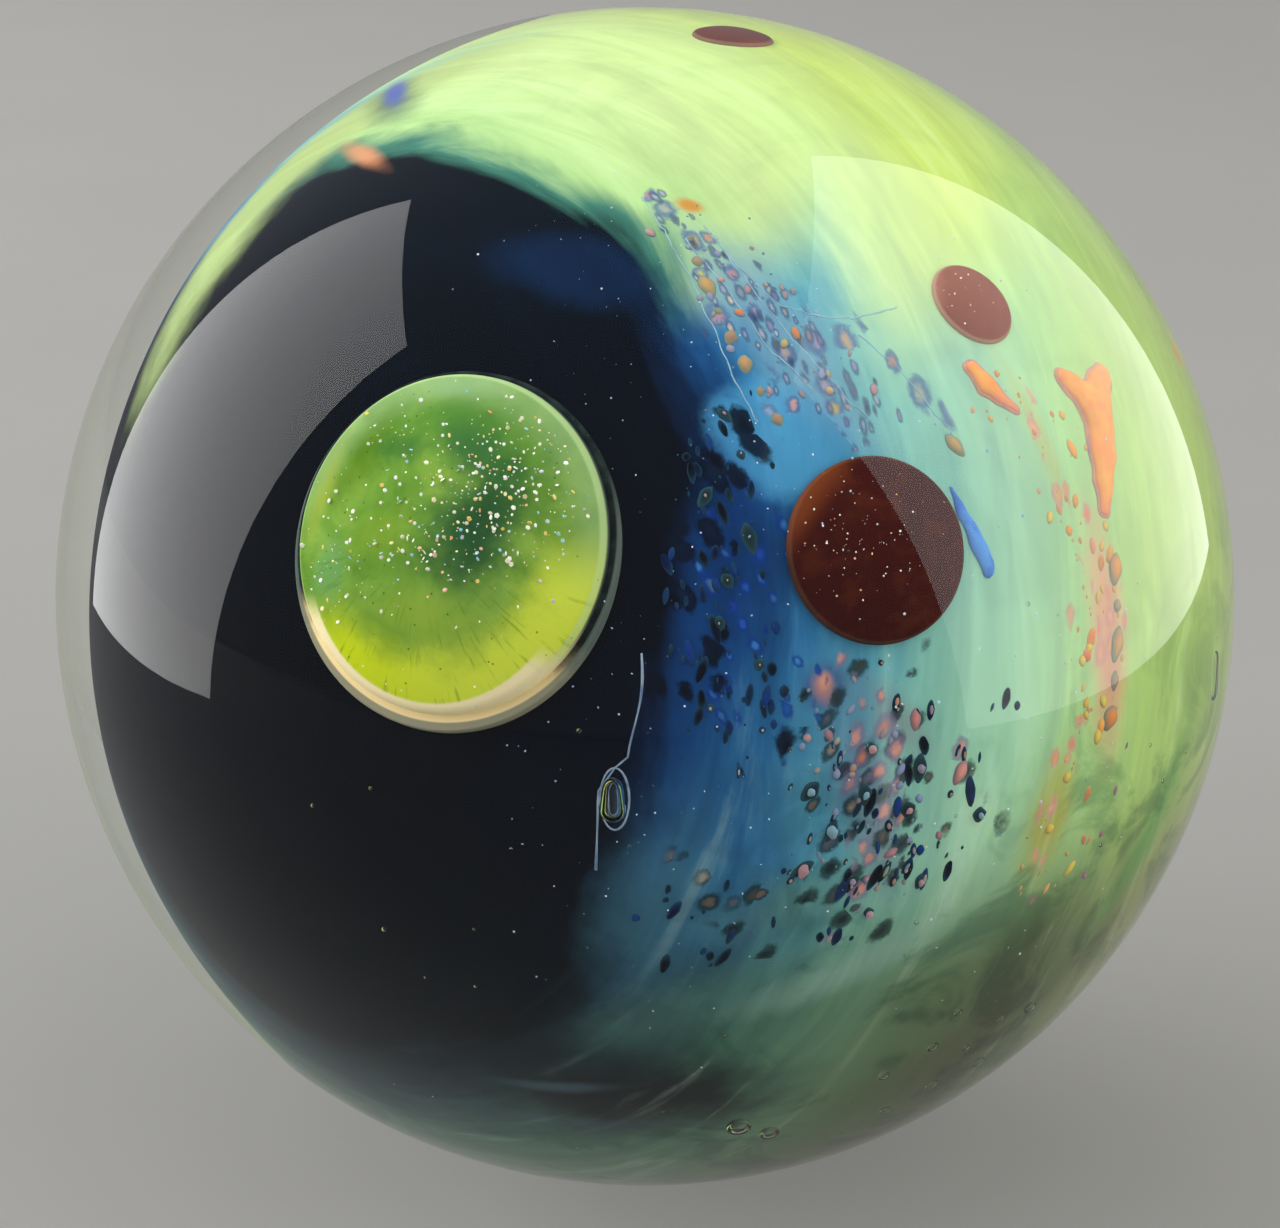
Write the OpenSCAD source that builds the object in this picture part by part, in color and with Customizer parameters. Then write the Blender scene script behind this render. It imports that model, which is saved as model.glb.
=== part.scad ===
// Handmade glass marble: small domed planets on a dark ball with colour wraps, cased in clear glass.
// The origin is the centre of the ball, +Z is up, and the side with the green planet looks along -Y.
// A place on the ground ball is a turn (from the front, towards +X) and a lift (from level, upwards).

/* [Clear casing] */
// Diameter of the whole ball
ball_d = 38; // [37:0.5:44]
// Mean thickness of the clear glass over the ground ball
casing_t = 5.7; // [5.3:0.1:6.3]

/* [Ground ball] */
// How far the ground ball lies to the right of the middle
ground_right = 1.2; // [0.8:0.1:1.6]
// How far the ground ball lies below the middle
ground_drop = 0.3; // [0:0.1:0.6]

/* [Colour wraps] */
// Turn of the middle of the dark side
bare_turn = -55; // [-65:1:-45]
// Lift of the middle of the dark side
bare_lift = 10; // [0:1:20]
// Half angle of the dark side, where the cobalt wrap begins
night_half_angle = 59; // [54:1:62]
// Half angle at which the seafoam wrap begins
cobalt_half_angle = 72; // [67:1:77]
// Half angle at which the lime wrap begins
seafoam_half_angle = 101; // [92:1:106]
// How far the dark heart lies off centre, towards the bare side
night_shift = 5; // [4.4:0.2:6]
// How far the inside of the seafoam wrap lies off centre
cobalt_shift = 3.2; // [2.6:0.2:3.8]
// How far the inside of the lime wrap lies off centre
seafoam_shift = 2; // [1.2:0.2:2.4]

/* [Green planet] */
// Diameter of the green planet
planet_d = 8.6; // [7.8:0.2:9]
// Turn of the green planet
planet_turn = -31; // [-33:1:-27]
// Lift of the green planet
planet_lift = 26; // [22:0.5:28]
// Height of the planet's side wall above the ground
planet_wall = 0.6; // [0.4:0.05:0.9]
// Height of the planet's dome above its wall
planet_dome = 1.3; // [0.9:0.05:1.6]
// Depth of the planet's foot in the ground
planet_sink = 0.6; // [0.4:0.05:1]
// Radius of the round where the dome meets the wall
planet_edge_r = 0.35; // [0.2:0.05:0.5]
// How far the bed of cream glass stands out around the planet
bed_margin = 0.25; // [0.25:0.05:0.5]
// How far the bed lies below the middle of the planet
bed_drop = 0.15; // [0:0.05:0.15]
// Height of the bed's wall above the ground
bed_wall = 0.25; // [0.2:0.05:0.35]
// Height of the bed's dome above its wall
bed_dome = 0.25; // [0.15:0.05:0.4]
// Radius of the round on the bed's edge
bed_edge_r = 0.08; // [0.04:0.02:0.1]
// Thickness of the cream glass under the planet's foot
bed_t = 0.5; // [0.3:0.05:0.8]
// Height of the lime shore, from the planet's lower edge
shore_h = 3.2; // [2.4:0.1:3.8]
// Radius of the shore's upper edge
shore_edge_r = 6.5; // [5:0.5:9]
// Thickness of the dark green land laid in the dome
land_t = 0.35; // [0.25:0.05:0.5]
// Diameter of the largest patch of land
land_d = 2.8; // [2.2:0.1:3.2]

/* [Red planets] */
// Diameter of the large red planet
big_red_d = 4.8; // [4.2:0.1:5.2]
// Turn of the large red planet
big_red_turn = 23; // [21:1:25]
// Lift of the large red planet
big_red_lift = 26.5; // [24:0.5:29]
// Diameter of the middle red planet
mid_red_d = 2.4; // [2.2:0.1:3]
// Turn of the middle red planet
mid_red_turn = 56; // [50:1:60]
// Lift of the middle red planet
mid_red_lift = 50; // [47:0.5:54]
// Diameter of the small red planet at the top
small_red_d = 1.9; // [1.4:0.1:2.4]
// Turn of the small red planet
small_red_turn = 171; // [160:1:180]
// Lift of the small red planet
small_red_lift = 66; // [60:0.5:72]
// Height of a red planet's side wall above the ground
red_wall = 0.25; // [0.2:0.05:0.4]
// Height of a red planet's dome, for each millimetre of its diameter
red_dome_rise = 0.17; // [0.12:0.01:0.2]
// Depth of a red planet's foot in the ground
red_sink = 0.5; // [0.3:0.05:0.8]
// Radius of the round on a red planet's edge
red_edge_r = 0.15; // [0.1:0.05:0.2]

/* [Frit] */
// Diameter of the largest grains of frit
frit_d = 0.8; // [0.6:0.05:1]
// How far a grain stands out of the ground, as a share of its diameter
frit_proud = 0.45; // [0.35:0.01:0.55]
// Number of amber grains in the row above the large red planet
row_count = 8; // [4:1:9]
// Number of amber grains in the tail below the fork
tail_count = 5; // [3:1:6]
// Width of the amber fork's arms
fork_d = 0.7; // [0.5:0.05:0.9]
// Length of the amber fork's stem
fork_l = 2.4; // [1.8:0.1:3]
// Width of the blue tongue
tongue_d = 1; // [0.8:0.05:1.2]
// Length of the blue tongue
tongue_l = 2; // [1.6:0.1:2.4]

/* [Stacked dots] */
// Diameter of a dark dot
dot_d = 0.9; // [0.7:0.05:1]
// Diameter of the pale bead on top of each dot
bead_d = 0.3; // [0.2:0.02:0.36]
// Number of stacked dots along the edge of the dark side
seam_count = 8; // [5:1:9]
// Number of dots and pink grains in the lower field
field_count = 16; // [10:1:18]
// How far apart the dots of the lower field lie, as an angle
field_step = 3.2; // [3:0.1:3.4]

/* [Bubbles] */
// Diameter of the large bubbles in the clear glass
bubble_d = 0.7; // [0.5:0.05:0.9]
// Number of small bubbles in the cluster near the foot
foam_count = 9; // [4:1:12]

/* [Hidden] */
$fn = 96;
small_fn = 48;
golden_angle = 137.508;
// ball of dark glass and its colour wraps
ground_r = ball_d / 2 - casing_t;
// middle of the lower field of dots
field_turn = 22;
field_lift = -3;
// middle of the cluster of small bubbles
foam_turn = 37;
foam_lift = -39;
foam_step = 3.6;

// How far the ground ball has fallen away at a distance r from the axis of a seat
function fall(r) = ground_r - sqrt(ground_r * ground_r - r * r);

// Radius of a ball that meets the ground's surface at the given half angle
function wrap_r(shift, half) =
    sqrt(ground_r * ground_r + shift * shift - 2 * ground_r * shift * cos(half));

// Place number i of a spiral field around a middle: turn and lift
function spiral_place(turn, lift, step, i) = [
    turn + step * sqrt(i + 0.5) * cos(i * golden_angle) / cos(lift),
    lift + step * sqrt(i + 0.5) * sin(i * golden_angle)
];

// Place number i of the lower field of dots
function field_place(i) = spiral_place(field_turn, field_lift, field_step, i);

// Puts its children on the ground's surface, with +Z out of the ground and +Y up along it
module on_ground(turn, lift) {
    translate([ground_right, 0, -ground_drop])
        rotate([90 - lift, 0, turn])
            translate([0, 0, ground_r])
                children();
}

module ground_ball() {
    translate([ground_right, 0, -ground_drop])
        sphere(r = ground_r, $fn = 160);
}

// Inside of a wrap: a ball shifted towards the bare side
module wrap_inside(shift, half) {
    translate([ground_right, 0, -ground_drop])
        rotate([90 - bare_lift, 0, bare_turn])
            translate([0, 0, shift])
                sphere(r = wrap_r(shift, half), $fn = 160);
}

// Turned domed cap with a short wall, a rounded edge and a flat foot below the ground
module cabochon(d, wall, dome, sink, edge_r) {
    r = d / 2;
    foot = -fall(r) - sink;
    shoulder = -fall(r) + wall;
    dome_r = (r * r + dome * dome) / (2 * dome);
    dome_z = shoulder + dome - dome_r;
    round_z = dome_z + sqrt(pow(dome_r - edge_r, 2) - pow(r - edge_r, 2));
    blend_x = (r - edge_r) * dome_r / (dome_r - edge_r);
    rotate_extrude() {
        intersection() {
            translate([0, dome_z])
                circle(r = dome_r, $fn = 240);
            translate([0, foot])
                square([blend_x, shoulder + dome - foot]);
        }
        translate([r - edge_r, round_z])
            circle(r = edge_r);
        translate([0, foot])
            square([r, round_z - foot]);
    }
}

// Green planet with its shore and land, as one body
module planet_body() {
    cabochon(planet_d, planet_wall, planet_dome, planet_sink, planet_edge_r);
}

// Lower part of the planet, under a curved edge
module shore_cut() {
    translate([0, shore_h - planet_d / 2 - shore_edge_r, -planet_d])
        cylinder(r = shore_edge_r, h = 2 * planet_d);
}

// Three patches of land in a loose chain, as deep as the inlay
module land_cut() {
    dome_r = (planet_d * planet_d / 4 + planet_dome * planet_dome) / (2 * planet_dome);
    dome_z = planet_wall - fall(planet_d / 2) + planet_dome - dome_r;
    difference() {
        for (i = [0:2])
            rotate([0, 0, 62 + 34 * i])
                translate([0.3 * planet_d - 0.12 * land_d * i, 0, -planet_sink])
                    cylinder(d = land_d * (1 - 0.14 * i), h = 2 * planet_d);
        translate([0, 0, dome_z])
            sphere(r = dome_r - land_t, $fn = 200);
    }
}

// Bed of cream glass, a little lower than the planet
module bed_body() {
    translate([0, -bed_drop, 0])
        cabochon(planet_d + 2 * bed_margin, bed_wall, bed_dome, planet_sink + bed_t, bed_edge_r);
}

module red_body(d) {
    cabochon(d, red_wall, red_dome_rise * d, red_sink, red_edge_r);
}

module place_planet() {
    on_ground(planet_turn, planet_lift) children();
}

module place_big_red() {
    on_ground(big_red_turn, big_red_lift) children();
}

module place_middle_red() {
    on_ground(mid_red_turn, mid_red_lift) children();
}

module place_small_red() {
    on_ground(small_red_turn, small_red_lift) children();
}

// Everything that is pressed into the ground and needs a pocket there
module pressed_in() {
    place_planet() planet_body();
    place_planet() bed_body();
    place_big_red() red_body(big_red_d);
    place_middle_red() red_body(mid_red_d);
    place_small_red() red_body(small_red_d);
}

// Round grain melted on the ground
module grain(turn, lift, d) {
    on_ground(turn, lift)
        translate([0, 0, (frit_proud - 0.5) * d])
            sphere(d = d, $fn = small_fn);
}

// Rod of glass melted on the ground along the tilt, with its first end at a distance from the place
module rod(turn, lift, tilt, l, d, first_end) {
    on_ground(turn, lift)
        rotate([0, 0, tilt])
            translate([first_end, 0, (frit_proud - 0.5) * d]) {
                rotate([0, 90, 0])
                    cylinder(d = d, h = l, $fn = small_fn);
                sphere(d = d, $fn = small_fn);
                translate([l, 0, 0])
                    sphere(d = d, $fn = small_fn);
            }
}

module amber_grains() {
    // fork of two rods, the thinner one standing off the middle of the other
    rod(62, 31, -106, 1.7 * fork_l, fork_d, -0.85 * fork_l);
    rod(62, 31, 20, fork_l, 0.8 * fork_d, 0);
    // tail below the fork
    for (i = [0:tail_count - 1])
        grain(58 - 1.1 * i, 16.5 - 4 * i, frit_d * (0.75 - 0.25 * (i % 2)));
    // row that runs down towards the large red planet
    for (i = [0:row_count - 1])
        grain(-1 + 1.9 * i, 66 - 3.4 * i, frit_d * (0.65 + 0.2 * (i % 3 - 1)));
    // rod and drop beside the middle planet
    rod(51, 38, -66, 0.9 * fork_l, 0.7 * fork_d, -0.45 * fork_l);
    grain(38, 36, frit_d);
}

module pink_grains() {
    for (i = [2:3:field_count - 1])
        grain(field_place(i)[0], field_place(i)[1], 0.7 * frit_d);
    for (i = [0:3])
        grain(57 - 1.4 * i, -4 - 5 * i, frit_d * (0.6 + 0.15 * (i % 2)));
}

module blue_rod() {
    rod(37, 25.5, -92, tongue_l, tongue_d, -tongue_l / 2);
}

// Places of the stacked dots: a winding seam, then two in three of the field
function seam_place(i) = [4.5 + 3 * sin(i * golden_angle), 43 - 4.6 * i];

module stacked(d, rise) {
    for (i = [0:seam_count - 1])
        on_ground(seam_place(i)[0], seam_place(i)[1])
            translate([0, 0, rise - d / 2])
                sphere(d = d, $fn = small_fn);
    for (i = [0:field_count - 1])
        if (i % 3 != 2)
            on_ground(field_place(i)[0], field_place(i)[1])
                translate([0, 0, rise - d / 2])
                    sphere(d = d, $fn = small_fn);
}

module dot_balls() {
    stacked(dot_d, frit_proud * dot_d);
}

module bead_balls() {
    stacked(bead_d, frit_proud * dot_d + bead_d / 3);
}

// All that lies on the ground, without the ground itself
module on_top() {
    amber_grains();
    pink_grains();
    blue_rod();
    dot_balls();
    bead_balls();
}

// Bubble held in the clear glass, at a height above the ground
module bubble(turn, lift, height, d, l) {
    on_ground(turn, lift)
        translate([0, -l / 2, height]) {
            sphere(d = d, $fn = small_fn);
            if (l > 0) {
                rotate([-90, 0, 0])
                    cylinder(d = d, h = l, $fn = small_fn);
                translate([0, l, 0])
                    sphere(d = d, $fn = small_fn);
            }
        }
}

module bubbles() {
    bubble(73, -1, 1.6, 0.8 * bubble_d, 0.9);
    bubble(-8, 2, 1.4, bubble_d, 0.5);
    bubble(7, -46, 1.4, bubble_d, 0);
    bubble(12, -48, 1.5, 0.8 * bubble_d, 0);
    for (i = [0:foam_count - 1])
        let (place = spiral_place(foam_turn, foam_lift, foam_step, i))
            bubble(place[0], place[1], 1 + 0.15 * (i % 4), bubble_d * (0.4 + 0.1 * (i % 3)), 0);
}

module clear_casing() {
    color("aliceblue", 0.25)
        difference() {
            sphere(d = ball_d, $fn = 200);
            ground_ball();
            pressed_in();
            on_top();
            bubbles();
        }
}

module night_ground() {
    color("#05101c")
        difference() {
            intersection() {
                ground_ball();
                wrap_inside(night_shift, night_half_angle);
            }
            pressed_in();
        }
}

module cobalt_wrap() {
    color("#1f5596")
        difference() {
            intersection() {
                ground_ball();
                wrap_inside(cobalt_shift, cobalt_half_angle);
            }
            wrap_inside(night_shift, night_half_angle);
            pressed_in();
        }
}

module seafoam_wrap() {
    color("#6fb4a4")
        difference() {
            intersection() {
                ground_ball();
                wrap_inside(seafoam_shift, seafoam_half_angle);
            }
            wrap_inside(cobalt_shift, cobalt_half_angle);
            pressed_in();
        }
}

module lime_wrap() {
    color("#bcd665")
        difference() {
            ground_ball();
            wrap_inside(seafoam_shift, seafoam_half_angle);
            pressed_in();
        }
}

module green_planet() {
    color("#5f9a38")
        place_planet()
            difference() {
                planet_body();
                shore_cut();
                land_cut();
            }
}

module lime_shore() {
    color("#bcd21a")
        place_planet()
            difference() {
                intersection() {
                    planet_body();
                    shore_cut();
                }
                land_cut();
            }
}

module dark_land() {
    color("#2c6640")
        place_planet()
            intersection() {
                planet_body();
                land_cut();
            }
}

module cream_bed() {
    color("#f0cf98")
        place_planet()
            difference() {
                bed_body();
                planet_body();
            }
}

module big_red_planet() {
    color("#541712")
        place_big_red() red_body(big_red_d);
}

module middle_red_planet() {
    color("#7a443c")
        place_middle_red() red_body(mid_red_d);
}

module small_red_planet() {
    color("#6a2a20")
        place_small_red() red_body(small_red_d);
}

module amber_frit() {
    color("#dd7a28")
        difference() {
            amber_grains();
            ground_ball();
        }
}

module pink_frit() {
    color("#d98a78")
        difference() {
            pink_grains();
            ground_ball();
        }
}

module blue_tongue() {
    color("#4a8fdc")
        difference() {
            blue_rod();
            ground_ball();
        }
}

module dark_dots() {
    color("#16242c")
        difference() {
            dot_balls();
            ground_ball();
        }
}

module pale_beads() {
    color("#d8e4d0")
        difference() {
            bead_balls();
            dot_balls();
        }
}

clear_casing();
night_ground();
cobalt_wrap();
seafoam_wrap();
lime_wrap();
green_planet();
lime_shore();
dark_land();
cream_bed();
big_red_planet();
middle_red_planet();
small_red_planet();
amber_frit();
pink_frit();
blue_tongue();
dark_dots();
pale_beads();
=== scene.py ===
import math
import random

import bmesh
import bpy
import numpy as np
from mathutils import Matrix, Vector, noise


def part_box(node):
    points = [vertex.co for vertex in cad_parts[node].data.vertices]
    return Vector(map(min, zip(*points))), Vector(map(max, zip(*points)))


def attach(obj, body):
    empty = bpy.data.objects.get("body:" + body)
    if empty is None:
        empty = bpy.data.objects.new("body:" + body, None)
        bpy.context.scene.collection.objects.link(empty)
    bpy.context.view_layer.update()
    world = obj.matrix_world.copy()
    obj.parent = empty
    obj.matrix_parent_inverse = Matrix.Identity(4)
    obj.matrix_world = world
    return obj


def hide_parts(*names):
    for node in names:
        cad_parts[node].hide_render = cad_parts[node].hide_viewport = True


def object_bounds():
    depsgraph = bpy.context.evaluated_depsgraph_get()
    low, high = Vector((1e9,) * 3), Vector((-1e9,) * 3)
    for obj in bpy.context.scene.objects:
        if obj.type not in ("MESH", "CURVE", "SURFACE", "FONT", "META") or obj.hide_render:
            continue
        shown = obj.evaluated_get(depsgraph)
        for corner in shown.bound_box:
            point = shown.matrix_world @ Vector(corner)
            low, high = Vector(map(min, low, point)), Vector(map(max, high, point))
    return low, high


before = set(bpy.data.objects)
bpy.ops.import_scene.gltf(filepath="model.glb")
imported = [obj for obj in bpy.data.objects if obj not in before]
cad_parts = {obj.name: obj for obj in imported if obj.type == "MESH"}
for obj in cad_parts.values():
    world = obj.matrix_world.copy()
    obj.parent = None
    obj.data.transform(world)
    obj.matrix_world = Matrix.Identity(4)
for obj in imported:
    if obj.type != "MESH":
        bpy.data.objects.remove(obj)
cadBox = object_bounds()
mm = 0.001

# The ball and the ground ball, both read from the frame
ballRadius = (cadBox[1][0] - cadBox[0][0]) / 2
groundNodes = ("night_ground", "cobalt_wrap", "seafoam_wrap", "lime_wrap")
groundCorners = [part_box(name) for name in groundNodes]
groundLow = Vector([min(corner[0][axis] for corner in groundCorners) for axis in range(3)])
groundHigh = Vector([max(corner[1][axis] for corner in groundCorners) for axis in range(3)])
groundCentre = (groundLow + groundHigh) / 2
groundRadius = (groundHigh.x - groundLow.x) / 2
groundMm = groundRadius / mm
goldenAngle = 137.508


def direction(turn, lift):
    t, l = math.radians(turn), math.radians(lift)
    return Vector((math.sin(t) * math.cos(l), -math.cos(t) * math.cos(l), math.sin(l)))


# Seat on the ground ball in millimetres: +Z out of the glass, +Y up along it, +X towards larger turn
def seat(turn, lift, tilt=0.0, rise=0.0):
    return (
        Matrix.Translation(groundCentre)
        @ Matrix.Rotation(math.radians(turn), 4, "Z")
        @ Matrix.Rotation(math.radians(90 - lift), 4, "X")
        @ Matrix.Translation((0, 0, groundRadius + rise * mm))
        @ Matrix.Rotation(math.radians(tilt), 4, "Z")
        @ Matrix.Scale(mm, 4)
    )


def fallMm(r):
    return groundMm - math.sqrt(groundMm * groundMm - r * r)


# ---- meshes


def newPiece(name, mesh, material=None, smooth=True):
    piece = bpy.data.objects.new(name, mesh)
    bpy.context.scene.collection.objects.link(piece)
    if material:
        mesh.materials.clear()
        mesh.materials.append(material)
    if smooth:
        mesh.shade_smooth()
    return piece


def plainMesh(name, points, faces):
    mesh = bpy.data.meshes.new(name)
    mesh.from_pydata([tuple(p) for p in points], [], faces)
    mesh.update()
    return mesh


# Turned shape: the profile runs from the top pole to the bottom pole, both on the axis
def latheMesh(name, profile, segments=192):
    points = [Vector((0, 0, profile[0][1]))]
    for r, z in profile[1:-1]:
        for k in range(segments):
            a = 2 * math.pi * k / segments
            points.append(Vector((r * math.cos(a), r * math.sin(a), z)))
    points.append(Vector((0, 0, profile[-1][1])))
    rings = len(profile) - 2
    last = len(points) - 1
    faces = []
    for k in range(segments):
        after = (k + 1) % segments
        faces.append((0, 1 + k, 1 + after))
        for ring in range(rings - 1):
            a = 1 + ring * segments
            b = a + segments
            faces.append((a + k, b + k, b + after, a + after))
        a = 1 + (rings - 1) * segments
        faces.append((a + k, last, a + after))
    return plainMesh(name, points, faces)


# Profile of a domed cap with a short wall, a rounded edge and a flat foot, sizes in millimetres
def cabochonProfile(look):
    r = look["d"] / 2
    edge = look["edge"]
    foot = -fallMm(r) - look["sink"]
    shoulder = -fallMm(r) + look["wall"]
    domeR = (r * r + look["dome"] ** 2) / (2 * look["dome"])
    domeZ = shoulder + look["dome"] - domeR
    roundZ = domeZ + math.sqrt((domeR - edge) ** 2 - (r - edge) ** 2)
    blendX = (r - edge) * domeR / (domeR - edge)
    profile = [(0, domeZ + domeR)]
    steps = 60
    for k in range(1, steps + 1):
        x = blendX * k / steps
        profile.append((x, domeZ + math.sqrt(domeR * domeR - x * x)))
    startAngle = math.asin((blendX - (r - edge)) / edge)
    for k in range(1, 13):
        a = startAngle + (math.pi / 2 - startAngle) * k / 12
        profile.append((r - edge + edge * math.sin(a), roundZ + edge * math.cos(a)))
    for k in range(1, 9):
        profile.append((r, roundZ + (foot - roundZ) * k / 8))
    profile.append((0, foot))
    return profile


def icoMesh(name, subdivisions, radius=1.0):
    shape = bmesh.new()
    bmesh.ops.create_icosphere(shape, subdivisions=subdivisions, radius=radius)
    mesh = bpy.data.meshes.new(name)
    shape.to_mesh(mesh)
    shape.free()
    return mesh


# ---- node helpers


def paint(code, alpha=1.0):
    channels = [int(code[k : k + 2], 16) / 255 for k in (1, 3, 5)]
    return [c / 12.92 if c <= 0.04045 else ((c + 0.055) / 1.055) ** 2.4 for c in channels] + [alpha]


def add(tree, kind, sockets=None, **settings):
    node = tree.nodes.new(kind)
    for key, value in settings.items():
        setattr(node, key, value)
    for key, value in (sockets or {}).items():
        if isinstance(value, bpy.types.NodeSocket):
            tree.links.new(value, node.inputs[key])
        else:
            node.inputs[key].default_value = value
    return node


def calc(tree, operation, a, b=0.5, c=0.0, clamp=False):
    return add(tree, "ShaderNodeMath", {0: a, 1: b, 2: c}, operation=operation, use_clamp=clamp).outputs[0]


def mixColour(tree, factor, a, b, mode="MIX"):
    node = add(tree, "ShaderNodeMix", data_type="RGBA", blend_type=mode)
    for index, value in ((0, factor), (6, a), (7, b)):
        if isinstance(value, bpy.types.NodeSocket):
            tree.links.new(value, node.inputs[index])
        else:
            node.inputs[index].default_value = value
    return node.outputs[2]


def fade(tree, value, low, high, outLow=0.0, outHigh=1.0):
    node = add(tree, "ShaderNodeMapRange", {0: value, 1: low, 2: high, 3: outLow, 4: outHigh})
    node.interpolation_type = "SMOOTHSTEP"
    return node.outputs[0]


def noiseOf(tree, vector, scale, detail=3.0, roughness=0.55, distortion=0.0):
    sockets = {"Scale": scale, "Detail": detail, "Roughness": roughness, "Distortion": distortion}
    if vector is not None:
        sockets["Vector"] = vector
    return add(tree, "ShaderNodeTexNoise", sockets)


def rampOf(tree, factor, stops):
    node = add(tree, "ShaderNodeValToRGB", {0: factor})
    elements = node.color_ramp.elements
    while len(elements) > 1:
        elements.remove(elements[-1])
    elements[0].position, elements[0].color = stops[0][0], paint(stops[0][1])
    for position, code in stops[1:]:
        elements.new(position).color = paint(code)
    return node.outputs[0]


def startMaterial(name, roughness=0.5, specular=0.0):
    material = bpy.data.materials.new(name)
    material.use_nodes = True
    tree = material.node_tree
    shader = tree.nodes["Principled BSDF"]
    shader.inputs["Roughness"].default_value = roughness
    shader.inputs["Specular IOR Level"].default_value = specular
    place = add(tree, "ShaderNodeTexCoord").outputs["Object"]
    return material, tree, shader, place


# Coordinates of a seat, in its own millimetres
def seatCoordinates(tree, place, matrix):
    location, rotation, scale = matrix.decompose()
    return add(
        tree,
        "ShaderNodeMapping",
        {"Vector": place, "Location": location, "Rotation": rotation.to_euler(), "Scale": scale},
        vector_type="TEXTURE",
    ).outputs[0]


def newGroup(name, inputs, outputs):
    group = bpy.data.node_groups.new(name, "ShaderNodeTree")
    for label, kind, value in inputs:
        socket = group.interface.new_socket(label, in_out="INPUT", socket_type=kind)
        if value is not None:
            socket.default_value = value
    for label, kind in outputs:
        group.interface.new_socket(label, in_out="OUTPUT", socket_type=kind)
    return group, group.nodes.new("NodeGroupInput").outputs, group.nodes.new("NodeGroupOutput").inputs


# Melted colour: mottles and fine specks that break up a plain glass colour
def meltGroup():
    group, given, out = newGroup(
        "meltedColour",
        [
            ("Color", "NodeSocketColor", (0.5, 0.5, 0.5, 1)),
            ("Second", "NodeSocketColor", (0.3, 0.3, 0.3, 1)),
            ("Vector", "NodeSocketVector", None),
            ("Grain", "NodeSocketFloat", 900.0),
            ("Amount", "NodeSocketFloat", 0.5),
        ],
        [("Color", "NodeSocketColor"), ("Roughness", "NodeSocketFloat")],
    )
    cloud = noiseOf(group, given["Vector"], 1.0, 5.0, 0.65, 0.4)
    group.links.new(given["Grain"], cloud.inputs["Scale"])
    share = calc(group, "MULTIPLY", fade(group, cloud.outputs[0], 0.4, 0.68), given["Amount"])
    group.links.new(mixColour(group, share, given["Color"], given["Second"]), out["Color"])
    group.links.new(calc(group, "MULTIPLY_ADD", cloud.outputs[0], 0.3, 0.3), out["Roughness"])
    return group


# Soft round or oval patch: 1 in the middle of the given coordinates, 0 outside a radius of 1. Its edge follows a noise
# that all patches of a material share
def patchGroup():
    group, given, out = newGroup(
        "softPatch",
        [
            ("Vector", "NodeSocketVector", None),
            ("Ragged", "NodeSocketFloat", 0.3),
            ("Softness", "NodeSocketFloat", 0.5),
            ("Wobble", "NodeSocketFloat", 0.0),
        ],
        [("Mask", "NodeSocketFloat")],
    )
    far = add(group, "ShaderNodeVectorMath", {0: given["Vector"]}, operation="LENGTH").outputs["Value"]
    ragged = calc(group, "MULTIPLY", given["Wobble"], given["Ragged"])
    reach = calc(group, "MULTIPLY_ADD", ragged, 2.0, far)
    start = calc(group, "SUBTRACT", 1.0, given["Softness"])
    node = add(group, "ShaderNodeMapRange", {0: reach, 1: start, 2: 1.0, 3: 1.0, 4: 0.0})
    node.interpolation_type = "SMOOTHSTEP"
    group.links.new(node.outputs[0], out["Mask"])
    return group


# Colour flow about the bare axis: the angle from it, bent by slow and streaky noise
def flowGroup():
    group, given, out = newGroup(
        "colourFlow",
        [
            ("Vector", "NodeSocketVector", None),
            ("Streak", "NodeSocketVector", None),
            ("Bend", "NodeSocketFloat", 0.1),
            ("Drag", "NodeSocketFloat", 0.05),
        ],
        [("Angle", "NodeSocketFloat"), ("Streaks", "NodeSocketFloat"), ("Cloud", "NodeSocketFloat")],
    )
    slow = noiseOf(group, given["Vector"], 1.6, 2.0, 0.5)
    streak = noiseOf(group, given["Streak"], 1.0, 5.0, 0.62, 0.6)
    cloud = noiseOf(group, given["Vector"], 3.4, 4.0, 0.6, 1.2)
    alongAxis = add(group, "ShaderNodeSeparateXYZ", {0: given["Vector"]}).outputs["Z"]
    angle = calc(group, "DIVIDE", calc(group, "ARCCOSINE", alongAxis), math.pi)
    bent = calc(group, "MULTIPLY_ADD", calc(group, "SUBTRACT", slow.outputs[0], 0.5), given["Bend"], angle)
    dragged = calc(group, "MULTIPLY_ADD", calc(group, "SUBTRACT", streak.outputs[0], 0.5), given["Drag"], bent)
    group.links.new(dragged, out["Angle"])
    group.links.new(streak.outputs[0], out["Streaks"])
    group.links.new(cloud.outputs[0], out["Cloud"])
    return group


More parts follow.
